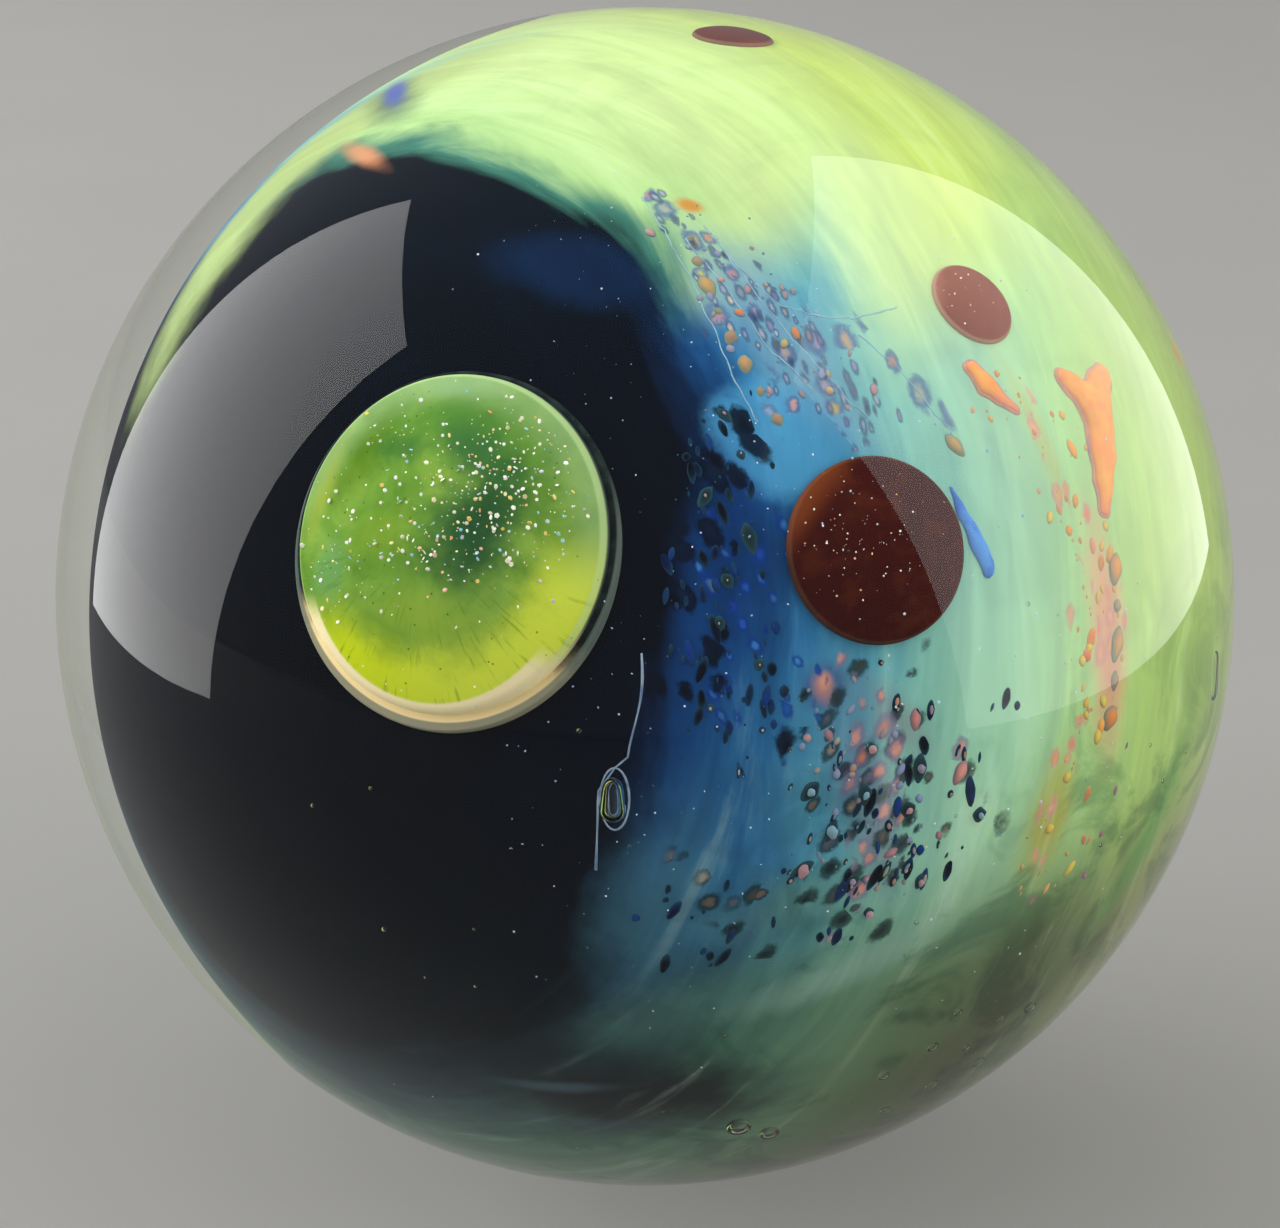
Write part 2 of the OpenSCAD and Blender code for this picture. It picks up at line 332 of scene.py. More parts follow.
# Melted dots: one soft dot in a share of the cells, each with a core, a ring and a number of its own
def dotsGroup():
    group, given, out = newGroup(
        "meltedDots",
        [
            ("Vector", "NodeSocketVector", None),
            ("Density", "NodeSocketFloat", 0.5),
            ("Largest", "NodeSocketFloat", 0.45),
            ("Wobble", "NodeSocketFloat", 0.0),
        ],
        [("Core", "NodeSocketFloat"), ("Ring", "NodeSocketFloat"), ("Pick", "NodeSocketFloat")],
    )
    cell = add(group, "ShaderNodeTexVoronoi", {"Vector": given["Vector"], "Scale": 1.0}, voronoi_dimensions="2D").outputs
    own = add(group, "ShaderNodeSeparateXYZ", {0: cell["Color"]}).outputs
    far = calc(group, "MULTIPLY_ADD", given["Wobble"], 0.5, cell["Distance"])
    radius = calc(group, "MULTIPLY", calc(group, "MULTIPLY_ADD", own["Y"], 0.6, 0.4), given["Largest"])
    here = fade(group, calc(group, "SUBTRACT", given["Density"], own["Z"]), 0.0, 0.12)
    for label, inner, outer in (("Core", 0.1, 0.62), ("Ring", 0.6, 1.1)):
        start, end = calc(group, "MULTIPLY", radius, inner), calc(group, "MULTIPLY", radius, outer)
        node = add(group, "ShaderNodeMapRange", {0: far, 1: start, 2: end, 3: 1.0, 4: 0.0})
        node.interpolation_type = "SMOOTHSTEP"
        group.links.new(calc(group, "MULTIPLY", node.outputs[0], here), out[label])
    group.links.new(own["X"], out["Pick"])
    return group


melted = meltGroup()
softPatch = patchGroup()
colourFlow = flowGroup()
meltedDots = dotsGroup()
print("node groups built")

# ---- clear casing

casingLook = {"wave": 0.02, "waveSize": 6.0, "ior": 1.47, "lampTint": 0.97, "mirror": 0.5, "level": 7}


# Clear glass. Lamps and diffuse light pass it straight, so the colours inside are lit without noise
def clearGlass():
    material, tree, shader, place = startMaterial("clearCasingGlass", 0.0, 0.5)
    shader.inputs["Base Color"].default_value = (1, 1, 1, 1)
    shader.inputs["Transmission Weight"].default_value = 1.0
    shader.inputs["IOR"].default_value = casingLook["ior"]
    mirror = casingLook["mirror"]
    shader.inputs["Specular Tint"].default_value = (mirror, mirror, mirror, 1)
    rays = add(tree, "ShaderNodeLightPath").outputs
    lampShare = calc(tree, "MAXIMUM", rays["Is Shadow Ray"], rays["Is Diffuse Ray"])
    tint = casingLook["lampTint"]
    straight = add(tree, "ShaderNodeBsdfTransparent", {0: (tint, tint, tint, 1)})
    glass = add(tree, "ShaderNodeMixShader", {0: lampShare, 1: shader.outputs[0], 2: straight.outputs[0]})
    tree.links.new(glass.outputs[0], tree.nodes["Material Output"].inputs["Surface"])
    return material


bubbleLook = {
    "d": 0.7,
    "foamPlace": (37, -39),
    "foamStep": 3.6,
    "foamCount": 9,
    "seedCount": 46,
    "seedSize": (0.05, 0.16),
    "randomSeed": 11,
}


# Bubble places: turn, lift, height above the ground, diameter and length, in millimetres and degrees
def bubblePlaces():
    d = bubbleLook["d"]
    places = [(73, -1, 1.6, 0.8 * d, 0.9), (-8, 2, 1.4, d, 0.5), (7, -46, 1.4, d, 0), (12, -48, 1.5, 0.8 * d, 0)]
    turn, lift = bubbleLook["foamPlace"]
    for i in range(bubbleLook["foamCount"]):
        far = bubbleLook["foamStep"] * math.sqrt(i + 0.5)
        a = math.radians(i * goldenAngle)
        size = d * (0.4 + 0.1 * (i % 3))
        sideways = far * math.cos(a) / math.cos(math.radians(lift))
        places.append((turn + sideways, lift + far * math.sin(a), 1 + 0.15 * (i % 4), size, 0))
    rng = random.Random(bubbleLook["randomSeed"])
    low, high = bubbleLook["seedSize"]
    for i in range(bubbleLook["seedCount"]):
        place = (rng.gauss(20, 34), rng.gauss(-22, 26), rng.uniform(0.5, 2.6))
        places.append((*place, rng.uniform(low, high), 0))
    return places


# Void with its faces turned inwards; a long one has its two ends pulled apart
def bubbleShape(shape, place):
    turn, lift, height, d, length = place
    made = bmesh.ops.create_icosphere(shape, subdivisions=3 if d > 0.25 else 2, radius=d / 2)["verts"]
    for vert in made:
        if length and vert.co.y > 0:
            vert.co.y += length
            vert.co.x *= 0.8
        vert.co.y -= length / 2
    bmesh.ops.transform(shape, matrix=seat(turn, lift, rise=height), verts=made)
    faces = list({face for vert in made for face in vert.link_faces})
    bmesh.ops.reverse_faces(shape, faces=faces)


def glassBall():
    shape = bmesh.new()
    bmesh.ops.create_icosphere(shape, subdivisions=casingLook["level"], radius=ballRadius)
    for vert in shape.verts:
        wave = noise.noise(vert.co.normalized() * casingLook["waveSize"] * 0.4)
        vert.co *= 1 - casingLook["wave"] * mm * (0.5 + 0.5 * wave) / ballRadius
    for place in bubblePlaces():
        bubbleShape(shape, place)
    mesh = bpy.data.meshes.new("glassBall")
    shape.to_mesh(mesh)
    shape.free()
    return newPiece("glassBall", mesh, clearGlass())


# ---- ground ball with its colour flow

groundLook = {
    "bareTurn": -55,
    "bareLift": 10,
    "bend": 0.07,
    "drag": 0.07,
    "streak": (1.5, 1.5, 11),
    "level": 7,
}

# Colours from the bare axis round to the far side, as shares of half a turn
middleStops = [
    (0.0, "#02060d"),
    (0.30, "#030b18"),
    (0.325, "#0a2548"),
    (0.35, "#174b80"),
    (0.375, "#3279aa"),
    (0.41, "#60adc0"),
    (0.45, "#8acbba"),
    (0.51, "#a8dab4"),
    (0.57, "#b0dc94"),
    (0.64, "#b4d878"),
    (0.78, "#aecb68"),
    (1.0, "#a2bf5c"),
]
topStops = [
    (0.0, "#02060d"),
    (0.325, "#04101c"),
    (0.345, "#3f7a6a"),
    (0.365, "#aed48c"),
    (0.43, "#c8e298"),
    (0.50, "#cbe894"),
    (0.56, "#c8e270"),
    (0.65, "#c6e46e"),
    (0.80, "#cde07a"),
    (1.0, "#bcd468"),
]
bottomStops = [
    (0.0, "#02060a"),
    (0.29, "#03101a"),
    (0.33, "#1e3a42"),
    (0.36, "#2f5656"),
    (0.39, "#467668"),
    (0.43, "#5c8c74"),
    (0.47, "#729c7a"),
    (0.51, "#6c8860"),
    (0.58, "#5a6444"),
    (0.62, "#708258"),
    (0.68, "#869256"),
    (0.75, "#98a060"),
    (1.0, "#8a9450"),
]

# Places where the colours are pulled towards the bare side: turn, lift, tilt, half width and height in mm, pull
groundPulls = {
    "seam": (-2, 5, 86, 8.0, 5.0, 0.055),
    "lowSeam": (-8, -14, 60, 4.5, 4.5, 0.025),
    "upperEdge": (-14, 66, 55, 5.0, 3.4, -0.02),
}

# Patches laid over the flow: turn, lift, tilt, half width and half height in mm, colour, share, softness
groundPatches = {
    "deepBlueOval": (-26, 60, -6, 3.3, 1.3, "#0a2648", 0.75, 0.55),
    "skyPatch": (12.5, 40, -30, 2.2, 1.8, "#4c9cc8", 0.95, 0.35),
    "lilacBand": (14, 55, -66, 5.0, 1.5, "#7fa6bc", 0.65, 0.8),
    "blueSeam": (3.5, 26, 82, 6.0, 1.6, "#124a90", 0.5, 0.8),
    "blueLow": (4, 2, 78, 4.6, 2.0, "#1c5288", 0.5, 0.9),
    "deepSeam": (0.2, 17, 84, 4.6, 1.0, "#0f4480", 0.6, 0.9),
    "tealEdge": (-4, -13, 72, 4.6, 2.2, "#41788e", 0.8, 0.95),
    "hazeHigh": (23, 8, -50, 2.2, 0.8, "#8c8890", 0.55, 0.95),
    "hazeMiddle": (21, -4, -80, 3.0, 0.7, "#80789a", 0.5, 0.95),
    "coralShade": (14.6, 12.5, 0, 0.9, 0.85, "#43578c", 0.7, 0.7),
    "coralSpot": (14.6, 12.3, 20, 0.42, 0.6, "#c88c80", 0.9, 0.95),
    "coralHeart": (14.8, 13.0, 0, 0.26, 0.34, "#e8a482", 0.9, 0.9),
    "amberSpot": (-1.2, 71.1, -30, 0.55, 0.32, "#d08c3c", 0.9, 0.7),
    "mauveField": (19, 0, -80, 4.2, 1.3, "#74849c", 0.5, 0.9),
    "coralHaze": (54.5, 10, 84, 4.6, 1.1, "#eaa088", 0.8, 0.85),
    "oliveLine": (53, 33, 88, 3.4, 0.5, "#c0b45c", 0.4, 0.9),
    "goldCrumbs": (44, -9, 80, 2.8, 1.2, "#b0a63c", 0.8, 0.9),
    "mintPool": (37, 8, 80, 5.5, 2.6, "#9edbb4", 0.5, 0.95),
    "greenStreak": (66, -18, 62, 5.0, 1.2, "#5a9c4a", 0.7, 0.9),
    "oliveRim": (48, -42, 40, 6.0, 2.2, "#5c6040", 0.6, 0.9),
    "paleLow": (18, -24, 25, 4.5, 0.9, "#a8cdbc", 0.45, 0.9),
    "darkFoot": (-10, -45, -4, 6.0, 3.2, "#040c18", 0.95, 0.8),
    "tealCloud": (2, -27, 30, 5.0, 1.6, "#5c8c84", 0.55, 0.95),
    "tealHigh": (12, -13, 20, 3.2, 1.4, "#6fa08a", 0.55, 0.95),
    "leftLime": (-118, 34, 131, 8.0, 2.7, "#b4cc86", 0.95, 0.8),
    "leftLimeEdge": (-130, 44, 131, 6.0, 2.4, "#b4cc80", 0.9, 0.8),
    "footWispMiddle": (-20, -44, 5, 2.6, 0.4, "#54707c", 0.6, 0.9),
    "footWispLow": (-17, -53, 0, 3.2, 0.5, "#4c6474", 0.6, 0.9),
    "darkTip": (-130, 48, 45, 3.4, 1.0, "#2c4a50", 0.7, 0.9),
    "violetSpot": (-134, 46, 45, 2.4, 0.5, "#4a5cc0", 0.8, 0.8),
    "orangeSpot": (-109, 51.5, 36, 2.4, 0.4, "#dc9468", 0.8, 0.9),
    "farOrange": (103, 25, 0, 0.6, 0.5, "#e8a040", 0.8, 0.7),
}

# Fields of soft dots: size of a cell in mm along and across the flow, its lean, largest radius in cells, ring, cores and spots
dotFields = {
    "rowDots": {
        "cell": (1.25, 0.75),
        "lean": 0,
        "largest": 0.5,
        "ring": ("#54709a", 0.8),
        "cores": [(0.0, "#c9a2a0"), (0.2, "#d8b45c"), (0.35, "#8f92bc"), (0.6, "#c88a78"), (0.75, "#b8bc6c"), (1.0, "#8fa4d0")],
        "spots": [(5, 63, -62, 3.8, 1.2, 1.1), (15, 52, -62, 4.2, 1.9, 1.3), (27, 53, -60, 2.4, 1.1, 0.9), (37, 41, -75, 3.0, 1.0, 0.5)],
    },
    "rowGrit": {
        "cell": (0.8, 0.3),
        "lean": 0,
        "largest": 0.5,
        "ring": ("#3e5878", 0.7),
        "cores": [(0.0, "#3a4c6c"), (0.3, "#b8c4d4"), (0.6, "#8c86b4"), (0.8, "#30404c"), (1.0, "#d8c8b0")],
        "spots": [(7, 61, -62, 4.6, 1.3, 0.8), (16, 51, -62, 4.0, 1.9, 1.0), (25, 43, -62, 1.8, 1.4, 1.0)],
    },
    "fieldDots": {
        "cell": (1.0, 0.62),
        "lean": -24,
        "largest": 0.5,
        "ring": ("#1a3436", 0.85),
        "cores": [(0.0, "#15282c"), (0.3, "#1e3438"), (0.45, "#8c7868"), (0.6, "#34384a"), (0.75, "#6c6c84"), (0.9, "#a08c78"), (1.0, "#908c90")],
        "spots": [(20, 3, -70, 4.6, 2.8, 0.95), (17, -11, -60, 3.6, 2.0, 0.95), (29, 2, -70, 4.2, 2.0, 0.5), (5, -13, -60, 3.4, 1.8, 0.5)],
    },
    "pinkDots": {
        "cell": (0.9, 0.62),
        "lean": -20,
        "largest": 0.55,
        "ring": ("#847c98", 0.7),
        "cores": [(0.0, "#e09a88"), (0.5, "#e8a894"), (0.8, "#d8845c"), (1.0, "#b898b0")],
        "spots": [(20, 7, -75, 3.2, 1.0, 1.1), (20, -5, -85, 3.4, 1.0, 1.1), (27, 5, -30, 1.8, 0.6, 0.9), (17, -14, 50, 2.0, 0.8, 1.0)],
    },
    "seamFlecks": {
        "cell": (0.9, 0.5),
        "lean": 22,
        "largest": 0.5,
        "ring": ("#12398c", 0.75),
        "cores": [(0.0, "#1540a0"), (0.4, "#2258b4"), (0.7, "#4088c8"), (0.85, "#0c1c50"), (1.0, "#6a9cc8")],
        "spots": [(5, 24, 84, 6.4, 1.6, 1.0), (12, 12, 84, 2.4, 1.2, 0.8)],
    },
    "seamDots": {
        "cell": (1.5, 0.75),
        "lean": 22,
        "largest": 0.56,
        "ring": ("#061226", 0.95),
        "cores": [(0.0, "#040a14"), (0.5, "#061222"), (0.8, "#08182c"), (1.0, "#0c2440")],
        "spots": [(2, 30, 82, 7.4, 1.9, 1.2), (8, 10, 78, 3.4, 1.3, 0.8), (6, 38, 60, 2.0, 0.8, 0.45)],
    },
    "tailDots": {
        "cell": (1.0, 0.6),
        "lean": 0,
        "largest": 0.5,
        "ring": ("#d49a90", 0.7),
        "cores": [(0.0, "#f0a060"), (0.4, "#ee8c6c"), (0.7, "#f0b090"), (1.0, "#e8b850")],
        "spots": [(54.5, 12, 84, 5.4, 1.0, 1.0), (53.5, 30, 86, 3.6, 0.6, 1.0), (45, -8, 80, 3.4, 1.2, 1.0), (50, 20, 84, 3.6, 0.9, 0.4)],
    },
}


def laidPatch(tree, place, wobble, spot, softness, ragged=0.3):
    turn, lift, tilt, wide, high = spot
    patch = add(tree, "ShaderNodeGroup", node_tree=softPatch)
    patch.inputs["Softness"].default_value = softness
    patch.inputs["Ragged"].default_value = ragged
    tree.links.new(wobble, patch.inputs["Wobble"])
    frameOf = seat(turn, lift, tilt) @ Matrix.Diagonal((wide, high, 3.0, 1.0))
    tree.links.new(seatCoordinates(tree, place, frameOf), patch.inputs["Vector"])
    return patch.outputs[0]


def groundColour():
    material, tree, shader, place = startMaterial("groundFlowGlass", 0.5)
    unit = add(
        tree,
        "ShaderNodeMapping",
        {"Vector": place, "Location": groundCentre, "Scale": (groundRadius,) * 3},
        vector_type="TEXTURE",
    ).outputs[0]
    bareFrame = seat(groundLook["bareTurn"], groundLook["bareLift"]).to_euler()
    turned = add(tree, "ShaderNodeMapping", {"Vector": unit, "Rotation": bareFrame}, vector_type="TEXTURE").outputs[0]
    streaky = add(tree, "ShaderNodeMapping", {"Vector": turned, "Scale": groundLook["streak"]}).outputs[0]
    flow = add(tree, "ShaderNodeGroup", node_tree=colourFlow)
    for label, value in (("Vector", turned), ("Streak", streaky)):
        tree.links.new(value, flow.inputs[label])
    flow.inputs["Bend"].default_value = groundLook["bend"]
    flow.inputs["Drag"].default_value = groundLook["drag"]
    angle = flow.outputs["Angle"]
    wobble = calc(tree, "SUBTRACT", noiseOf(tree, unit, 8.0, 5.0, 0.6).outputs[0], 0.5)
    for *spot, pull in groundPulls.values():
        angle = calc(tree, "MULTIPLY_ADD", laidPatch(tree, place, wobble, spot, 0.95, 0.1), pull, angle)
    sides = add(tree, "ShaderNodeSeparateXYZ", {0: unit}).outputs
    height = calc(tree, "MULTIPLY_ADD", sides["X"], -0.3, sides["Z"])
    middle = rampOf(tree, angle, middleStops)
    top = rampOf(tree, angle, topStops)
    bottom = rampOf(tree, angle, bottomStops)
    limeSide = calc(tree, "MULTIPLY", fade(tree, height, 0.52, 0.74), fade(tree, angle, 0.42, 0.5))
    colour = mixColour(tree, calc(tree, "MAXIMUM", limeSide, fade(tree, height, 0.77, 0.92)), middle, top)
    colour = mixColour(tree, fade(tree, sides["Z"], -0.12, -0.5), colour, bottom)
    for *spot, code, share, softness in groundPatches.values():
        mask = laidPatch(tree, place, wobble, spot, softness)
        colour = mixColour(tree, calc(tree, "MULTIPLY", mask, share), colour, paint(code))
    # flat map in mm about the bare axis: x along the flow, y across it
    axes = add(tree, "ShaderNodeSeparateXYZ", {0: turned}).outputs
    around = calc(tree, "MULTIPLY", calc(tree, "ARCTAN2", axes["Y"], axes["X"]), groundMm)
    across = calc(tree, "MULTIPLY", calc(tree, "ARCCOSINE", axes["Z"]), groundMm)
    flatMap = add(tree, "ShaderNodeCombineXYZ", {0: around, 1: across}).outputs[0]
    fineWobble = calc(tree, "SUBTRACT", noiseOf(tree, flatMap, 2.6, 3.0, 0.65).outputs[0], 0.5)
    for field in dotFields.values():
        lean = (0.0, 0.0, math.radians(field["lean"]))
        leaned = add(tree, "ShaderNodeMapping", {"Vector": flatMap, "Rotation": lean}).outputs[0]
        cellSize = (1 / field["cell"][0], 1 / field["cell"][1], 1.0)
        scaled = add(tree, "ShaderNodeMapping", {"Vector": leaned, "Scale": cellSize}).outputs[0]
        dots = add(tree, "ShaderNodeGroup", node_tree=meltedDots)
        tree.links.new(scaled, dots.inputs["Vector"])
        tree.links.new(fineWobble, dots.inputs["Wobble"])
        dots.inputs["Largest"].default_value = field["largest"]
        density = 0.0
        for *spot, share in field["spots"]:
            density = calc(tree, "MULTIPLY_ADD", laidPatch(tree, place, wobble, spot, 0.9, 0.4), share, density)
        tree.links.new(density, dots.inputs["Density"])
        ringCode, ringShare = field["ring"]
        colour = mixColour(tree, calc(tree, "MULTIPLY", dots.outputs["Ring"], ringShare), colour, paint(ringCode))
        colour = mixColour(tree, calc(tree, "MULTIPLY", dots.outputs["Core"], 0.9), colour, rampOf(tree, dots.outputs["Pick"], field["cores"]))
    # milky wisps drawn out along the flow, only where there is colour
    lit = fade(tree, angle, 0.33, 0.42)
    wisp = calc(tree, "MULTIPLY", fade(tree, flow.outputs["Streaks"], 0.55, 0.75), lit)
    low = fade(tree, sides["Z"], 0.25, -0.25, 0.16, 0.28)
    colour = mixColour(tree, calc(tree, "MULTIPLY", wisp, low), colour, paint("#d4eede"))
    shade = calc(tree, "MULTIPLY", fade(tree, flow.outputs["Cloud"], 0.55, 0.36), lit)
    low = fade(tree, sides["Z"], 0.35, -0.25, 0.08, 0.5)
    colour = mixColour(tree, calc(tree, "MULTIPLY", shade, low), colour, paint("#3f7f84"), "MULTIPLY")
    veined = fade(tree, flow.outputs["Streaks"], 0.3, 0.7, 0.86, 1.06)
    colour = mixColour(tree, 1.0, colour, add(tree, "ShaderNodeCombineXYZ", {0: veined, 1: veined, 2: veined}).outputs[0], "MULTIPLY")
    tree.links.new(colour, shader.inputs["Base Color"])
    tree.links.new(calc(tree, "MULTIPLY_ADD", flow.outputs["Cloud"], 0.3, 0.4), shader.inputs["Roughness"])
    return material


def groundBall():
    mesh = icoMesh("groundBall", groundLook["level"], groundRadius)
    mesh.transform(Matrix.Translation(groundCentre))
    return newPiece("groundBall", mesh, groundColour())


# ---- green planet

planetLook = {
    "turn": -31,
    "lift": 26,
    "d": 8.6,
    "wall": 0.6,
    "dome": 1.3,
    "sink": 0.6,
    "edge": 0.35,
}
bedLook = {"margin": 0.25, "drop": 0.15, "wall": 0.25, "dome": 0.25, "edge": 0.08, "thickness": 0.5}

# Patches of the planet: x and y of the middle, tilt, half width and half height in mm, colour, share, softness
planetPatches = {
    "greenTop": (0.2, 2.9, 0, 3.6, 1.4, "#4a8034", 0.85, 0.85),
    "mintTop": (-0.8, 3.9, 12, 2.4, 0.5, "#8cb480", 0.6, 0.9),
    "oliveLeft": (-2.8, 1.7, 68, 2.2, 1.1, "#507812", 0.9, 0.95),
    "oliveRimLeft": (-3.7, 0.6, 82, 2.0, 0.5, "#93a41c", 0.8, 0.95),
    "tealLeft": (-2.9, -1.3, 80, 1.3, 0.8, "#6ea45c", 0.8, 0.9),
    "oliveMiddle": (-1.5, -0.2, 20, 1.5, 0.9, "#7fa430", 0.7, 0.9),
    "landWide": (1.2, 0.6, 80, 2.7, 1.9, "#3a6e38", 0.88, 0.85),
    "landMiddle": (1.2, 0.4, 75, 2.4, 1.4, "#26522e", 0.85, 0.95),
    "landTop": (0.8, 2.3, -20, 1.8, 0.9, "#336a36", 0.8, 0.85),
    "landLeft": (-1.6, 2.1, 10, 1.2, 0.6, "#3c7230", 0.8, 0.9),
    "oliveLow": (0.3, -2.0, 0, 2.6, 1.1, "#92b23c", 0.75, 0.9),
}


def planetColour():
    material, tree, shader, place = startMaterial("planetGlass", 0.4)
    local = seatCoordinates(tree, place, seat(planetLook["turn"], planetLook["lift"]))
    parts = add(tree, "ShaderNodeSeparateXYZ", {0: local}).outputs
    colour = rampOf(
        tree, noiseOf(tree, local, 0.7, 5.0, 0.6, 0.5).outputs[0], [(0.3, "#5c8c2c"), (0.5, "#6f9c38"), (0.7, "#8ab048")]
    )
    wobble = calc(tree, "SUBTRACT", noiseOf(tree, local, 1.0, 5.0, 0.6).outputs[0], 0.5)
    for x, y, tilt, wide, high, code, share, softness in planetPatches.values():
        patch = add(tree, "ShaderNodeGroup", node_tree=softPatch)
        frameOf = (
            Matrix.Translation((x, y, 0.8))
            @ Matrix.Rotation(math.radians(tilt), 4, "Z")
            @ Matrix.Diagonal((wide, high, 4.0, 1.0))
        )
        tree.links.new(seatCoordinates(tree, local, frameOf), patch.inputs["Vector"])
        patch.inputs["Softness"].default_value = softness
        patch.inputs["Ragged"].default_value = 0.5
        tree.links.new(wobble, patch.inputs["Wobble"])
        colour = mixColour(tree, calc(tree, "MULTIPLY", patch.outputs[0], share), colour, paint(code))
    # bright lime crescent along the lower edge
    rim = calc(tree, "SQRT", calc(tree, "ADD", calc(tree, "POWER", parts["X"], 2.0), calc(tree, "POWER", parts["Y"], 2.0)))
    inner = calc(tree, "MULTIPLY_ADD", wobble, 1.4, rim)
    lowEdge = calc(tree, "MULTIPLY_ADD", parts["X"], -0.45, parts["Y"])
    crescent = calc(tree, "MULTIPLY", fade(tree, inner, planetLook["d"] / 2 - 1.9, planetLook["d"] / 2 - 0.6), fade(tree, lowEdge, -0.2, -2.4))
    limeTone = mixColour(tree, fade(tree, parts["X"], -2.2, 2.4), paint("#d0e014"), paint("#dcec48"))
    colour = mixColour(tree, calc(tree, "MULTIPLY", crescent, 0.9), colour, limeTone)
    # fine rays in the lower half and dark specks
    around = calc(tree, "ARCTAN2", parts["Y"], parts["X"])
    rayPlace = add(tree, "ShaderNodeCombineXYZ", {0: calc(tree, "MULTIPLY", around, 15.0), 1: calc(tree, "MULTIPLY", rim, 0.5)})
    rays = fade(tree, noiseOf(tree, rayPlace.outputs[0], 1.6, 3.0, 0.6).outputs[0], 0.56, 0.68)
    lower = fade(tree, parts["Y"], 0.4, -1.6)
    outer = fade(tree, rim, 1.2, 2.4)
    rayShare = calc(tree, "MULTIPLY", calc(tree, "MULTIPLY", rays, lower), calc(tree, "MULTIPLY", outer, 0.4))
    colour = mixColour(tree, rayShare, colour, paint("#4f7a10"))
    specks = add(tree, "ShaderNodeTexVoronoi", {"Vector": local, "Scale": 2.6}).outputs["Distance"]
    colour = mixColour(tree, fade(tree, specks, 0.1, 0.05, 0.0, 0.7), colour, paint("#23470f"))
    # pale rim and the milky side wall
    radius = planetLook["d"] / 2
    haze = calc(tree, "MULTIPLY", fade(tree, rim, radius - 1.1, radius - 0.1), fade(tree, parts["Y"], -1.4, 1.6, 0.0, 0.4))
    colour = mixColour(tree, haze, colour, paint("#a0c08c"))
    creamRim = calc(tree, "ADD", rim, calc(tree, "MULTIPLY", parts["Y"], 0.1))
    cream = calc(tree, "MULTIPLY", fade(tree, creamRim, radius - 0.66, radius - 0.58), fade(tree, parts["Y"], -1.9, -2.8))
    colour = mixColour(tree, cream, colour, paint("#fff0bc"))
    ring = calc(tree, "MULTIPLY", fade(tree, rim, radius - 0.1, radius - 0.04), 0.5)
    ringColour = mixColour(tree, fade(tree, parts["Y"], -1.6, -2.8), paint("#c6e0a0"), paint("#fff0bc"))
    colour = mixColour(tree, ring, colour, ringColour)
    shoulder = planetLook["wall"] - fallMm(radius)
    below = calc(tree, "MULTIPLY", fade(tree, parts["Z"], shoulder - 0.2, shoulder - 0.35), fade(tree, rim, radius - 0.12, radius - 0.02))
    wallColour = mixColour(tree, fade(tree, parts["Y"], -1.0, -2.8), paint("#3c4c44"), paint("#fff0b4"))
    colour = mixColour(tree, below, colour, wallColour)
    tree.links.new(colour, shader.inputs["Base Color"])
    tree.links.new(calc(tree, "MULTIPLY_ADD", rays, 0.1, 0.35), shader.inputs["Roughness"])
    return material


def planetDome():
    mesh = latheMesh("planetDome", cabochonProfile(planetLook))
    mesh.transform(seat(planetLook["turn"], planetLook["lift"]))
    return newPiece("planetDome", mesh, planetColour())


# Plain melted glass of one colour with a second one clouded into it
def meltedGlass(name, first, second, grain=1100.0, amount=0.6, roughness=0.4):
    material, tree, shader, place = startMaterial(name, roughness)
    mix = add(tree, "ShaderNodeGroup", {"Color": paint(first), "Second": paint(second)}, node_tree=melted)
    tree.links.new(place, mix.inputs["Vector"])
    mix.inputs["Grain"].default_value = grain
    mix.inputs["Amount"].default_value = amount
    tree.links.new(mix.outputs["Color"], shader.inputs["Base Color"])
    tree.links.new(mix.outputs["Roughness"], shader.inputs["Roughness"])
    return material


# Cream along the lower edge, thin grey-green glass round the rest
def bedColour():
    material, tree, shader, place = startMaterial("creamBedGlass", 0.4)
    local = seatCoordinates(tree, place, seat(planetLook["turn"], planetLook["lift"]))
    parts = add(tree, "ShaderNodeSeparateXYZ", {0: local}).outputs
    cloud = noiseOf(tree, local, 1.6, 4.0).outputs[0]
    edge = calc(tree, "MULTIPLY_ADD", calc(tree, "SUBTRACT", cloud, 0.5), 1.2, parts["Y"])
    sideColour = mixColour(tree, fade(tree, cloud, 0.4, 0.65), paint("#141e20"), paint("#2a3836"))
    colour = mixColour(tree, fade(tree, edge, -1.8, -3.0), sideColour, paint("#ffe8b0"))
    rim = calc(tree, "SQRT", calc(tree, "ADD", calc(tree, "POWER", parts["X"], 2.0), calc(tree, "POWER", parts["Y"], 2.0)))
    outer = planetLook["d"] / 2 + bedLook["margin"]
    colour = mixColour(tree, fade(tree, rim, outer - 0.1, outer - 0.04, 0.0, 0.8), colour, paint("#66746c"))
    tree.links.new(colour, shader.inputs["Base Color"])
    tree.links.new(calc(tree, "MULTIPLY_ADD", cloud, 0.2, 0.3), shader.inputs["Roughness"])
    return material


def planetBed():
    look = {
        "d": planetLook["d"] + 2 * bedLook["margin"],
        "wall": bedLook["wall"],
        "dome": bedLook["dome"],
        "sink": planetLook["sink"] + bedLook["thickness"],
        "edge": bedLook["edge"],
    }
    mesh = latheMesh("planetBed", cabochonProfile(look))
    mesh.transform(seat(planetLook["turn"], planetLook["lift"]) @ Matrix.Translation((0, -bedLook["drop"], 0)))
    return newPiece("planetBed", mesh, bedColour())


# ---- red planets

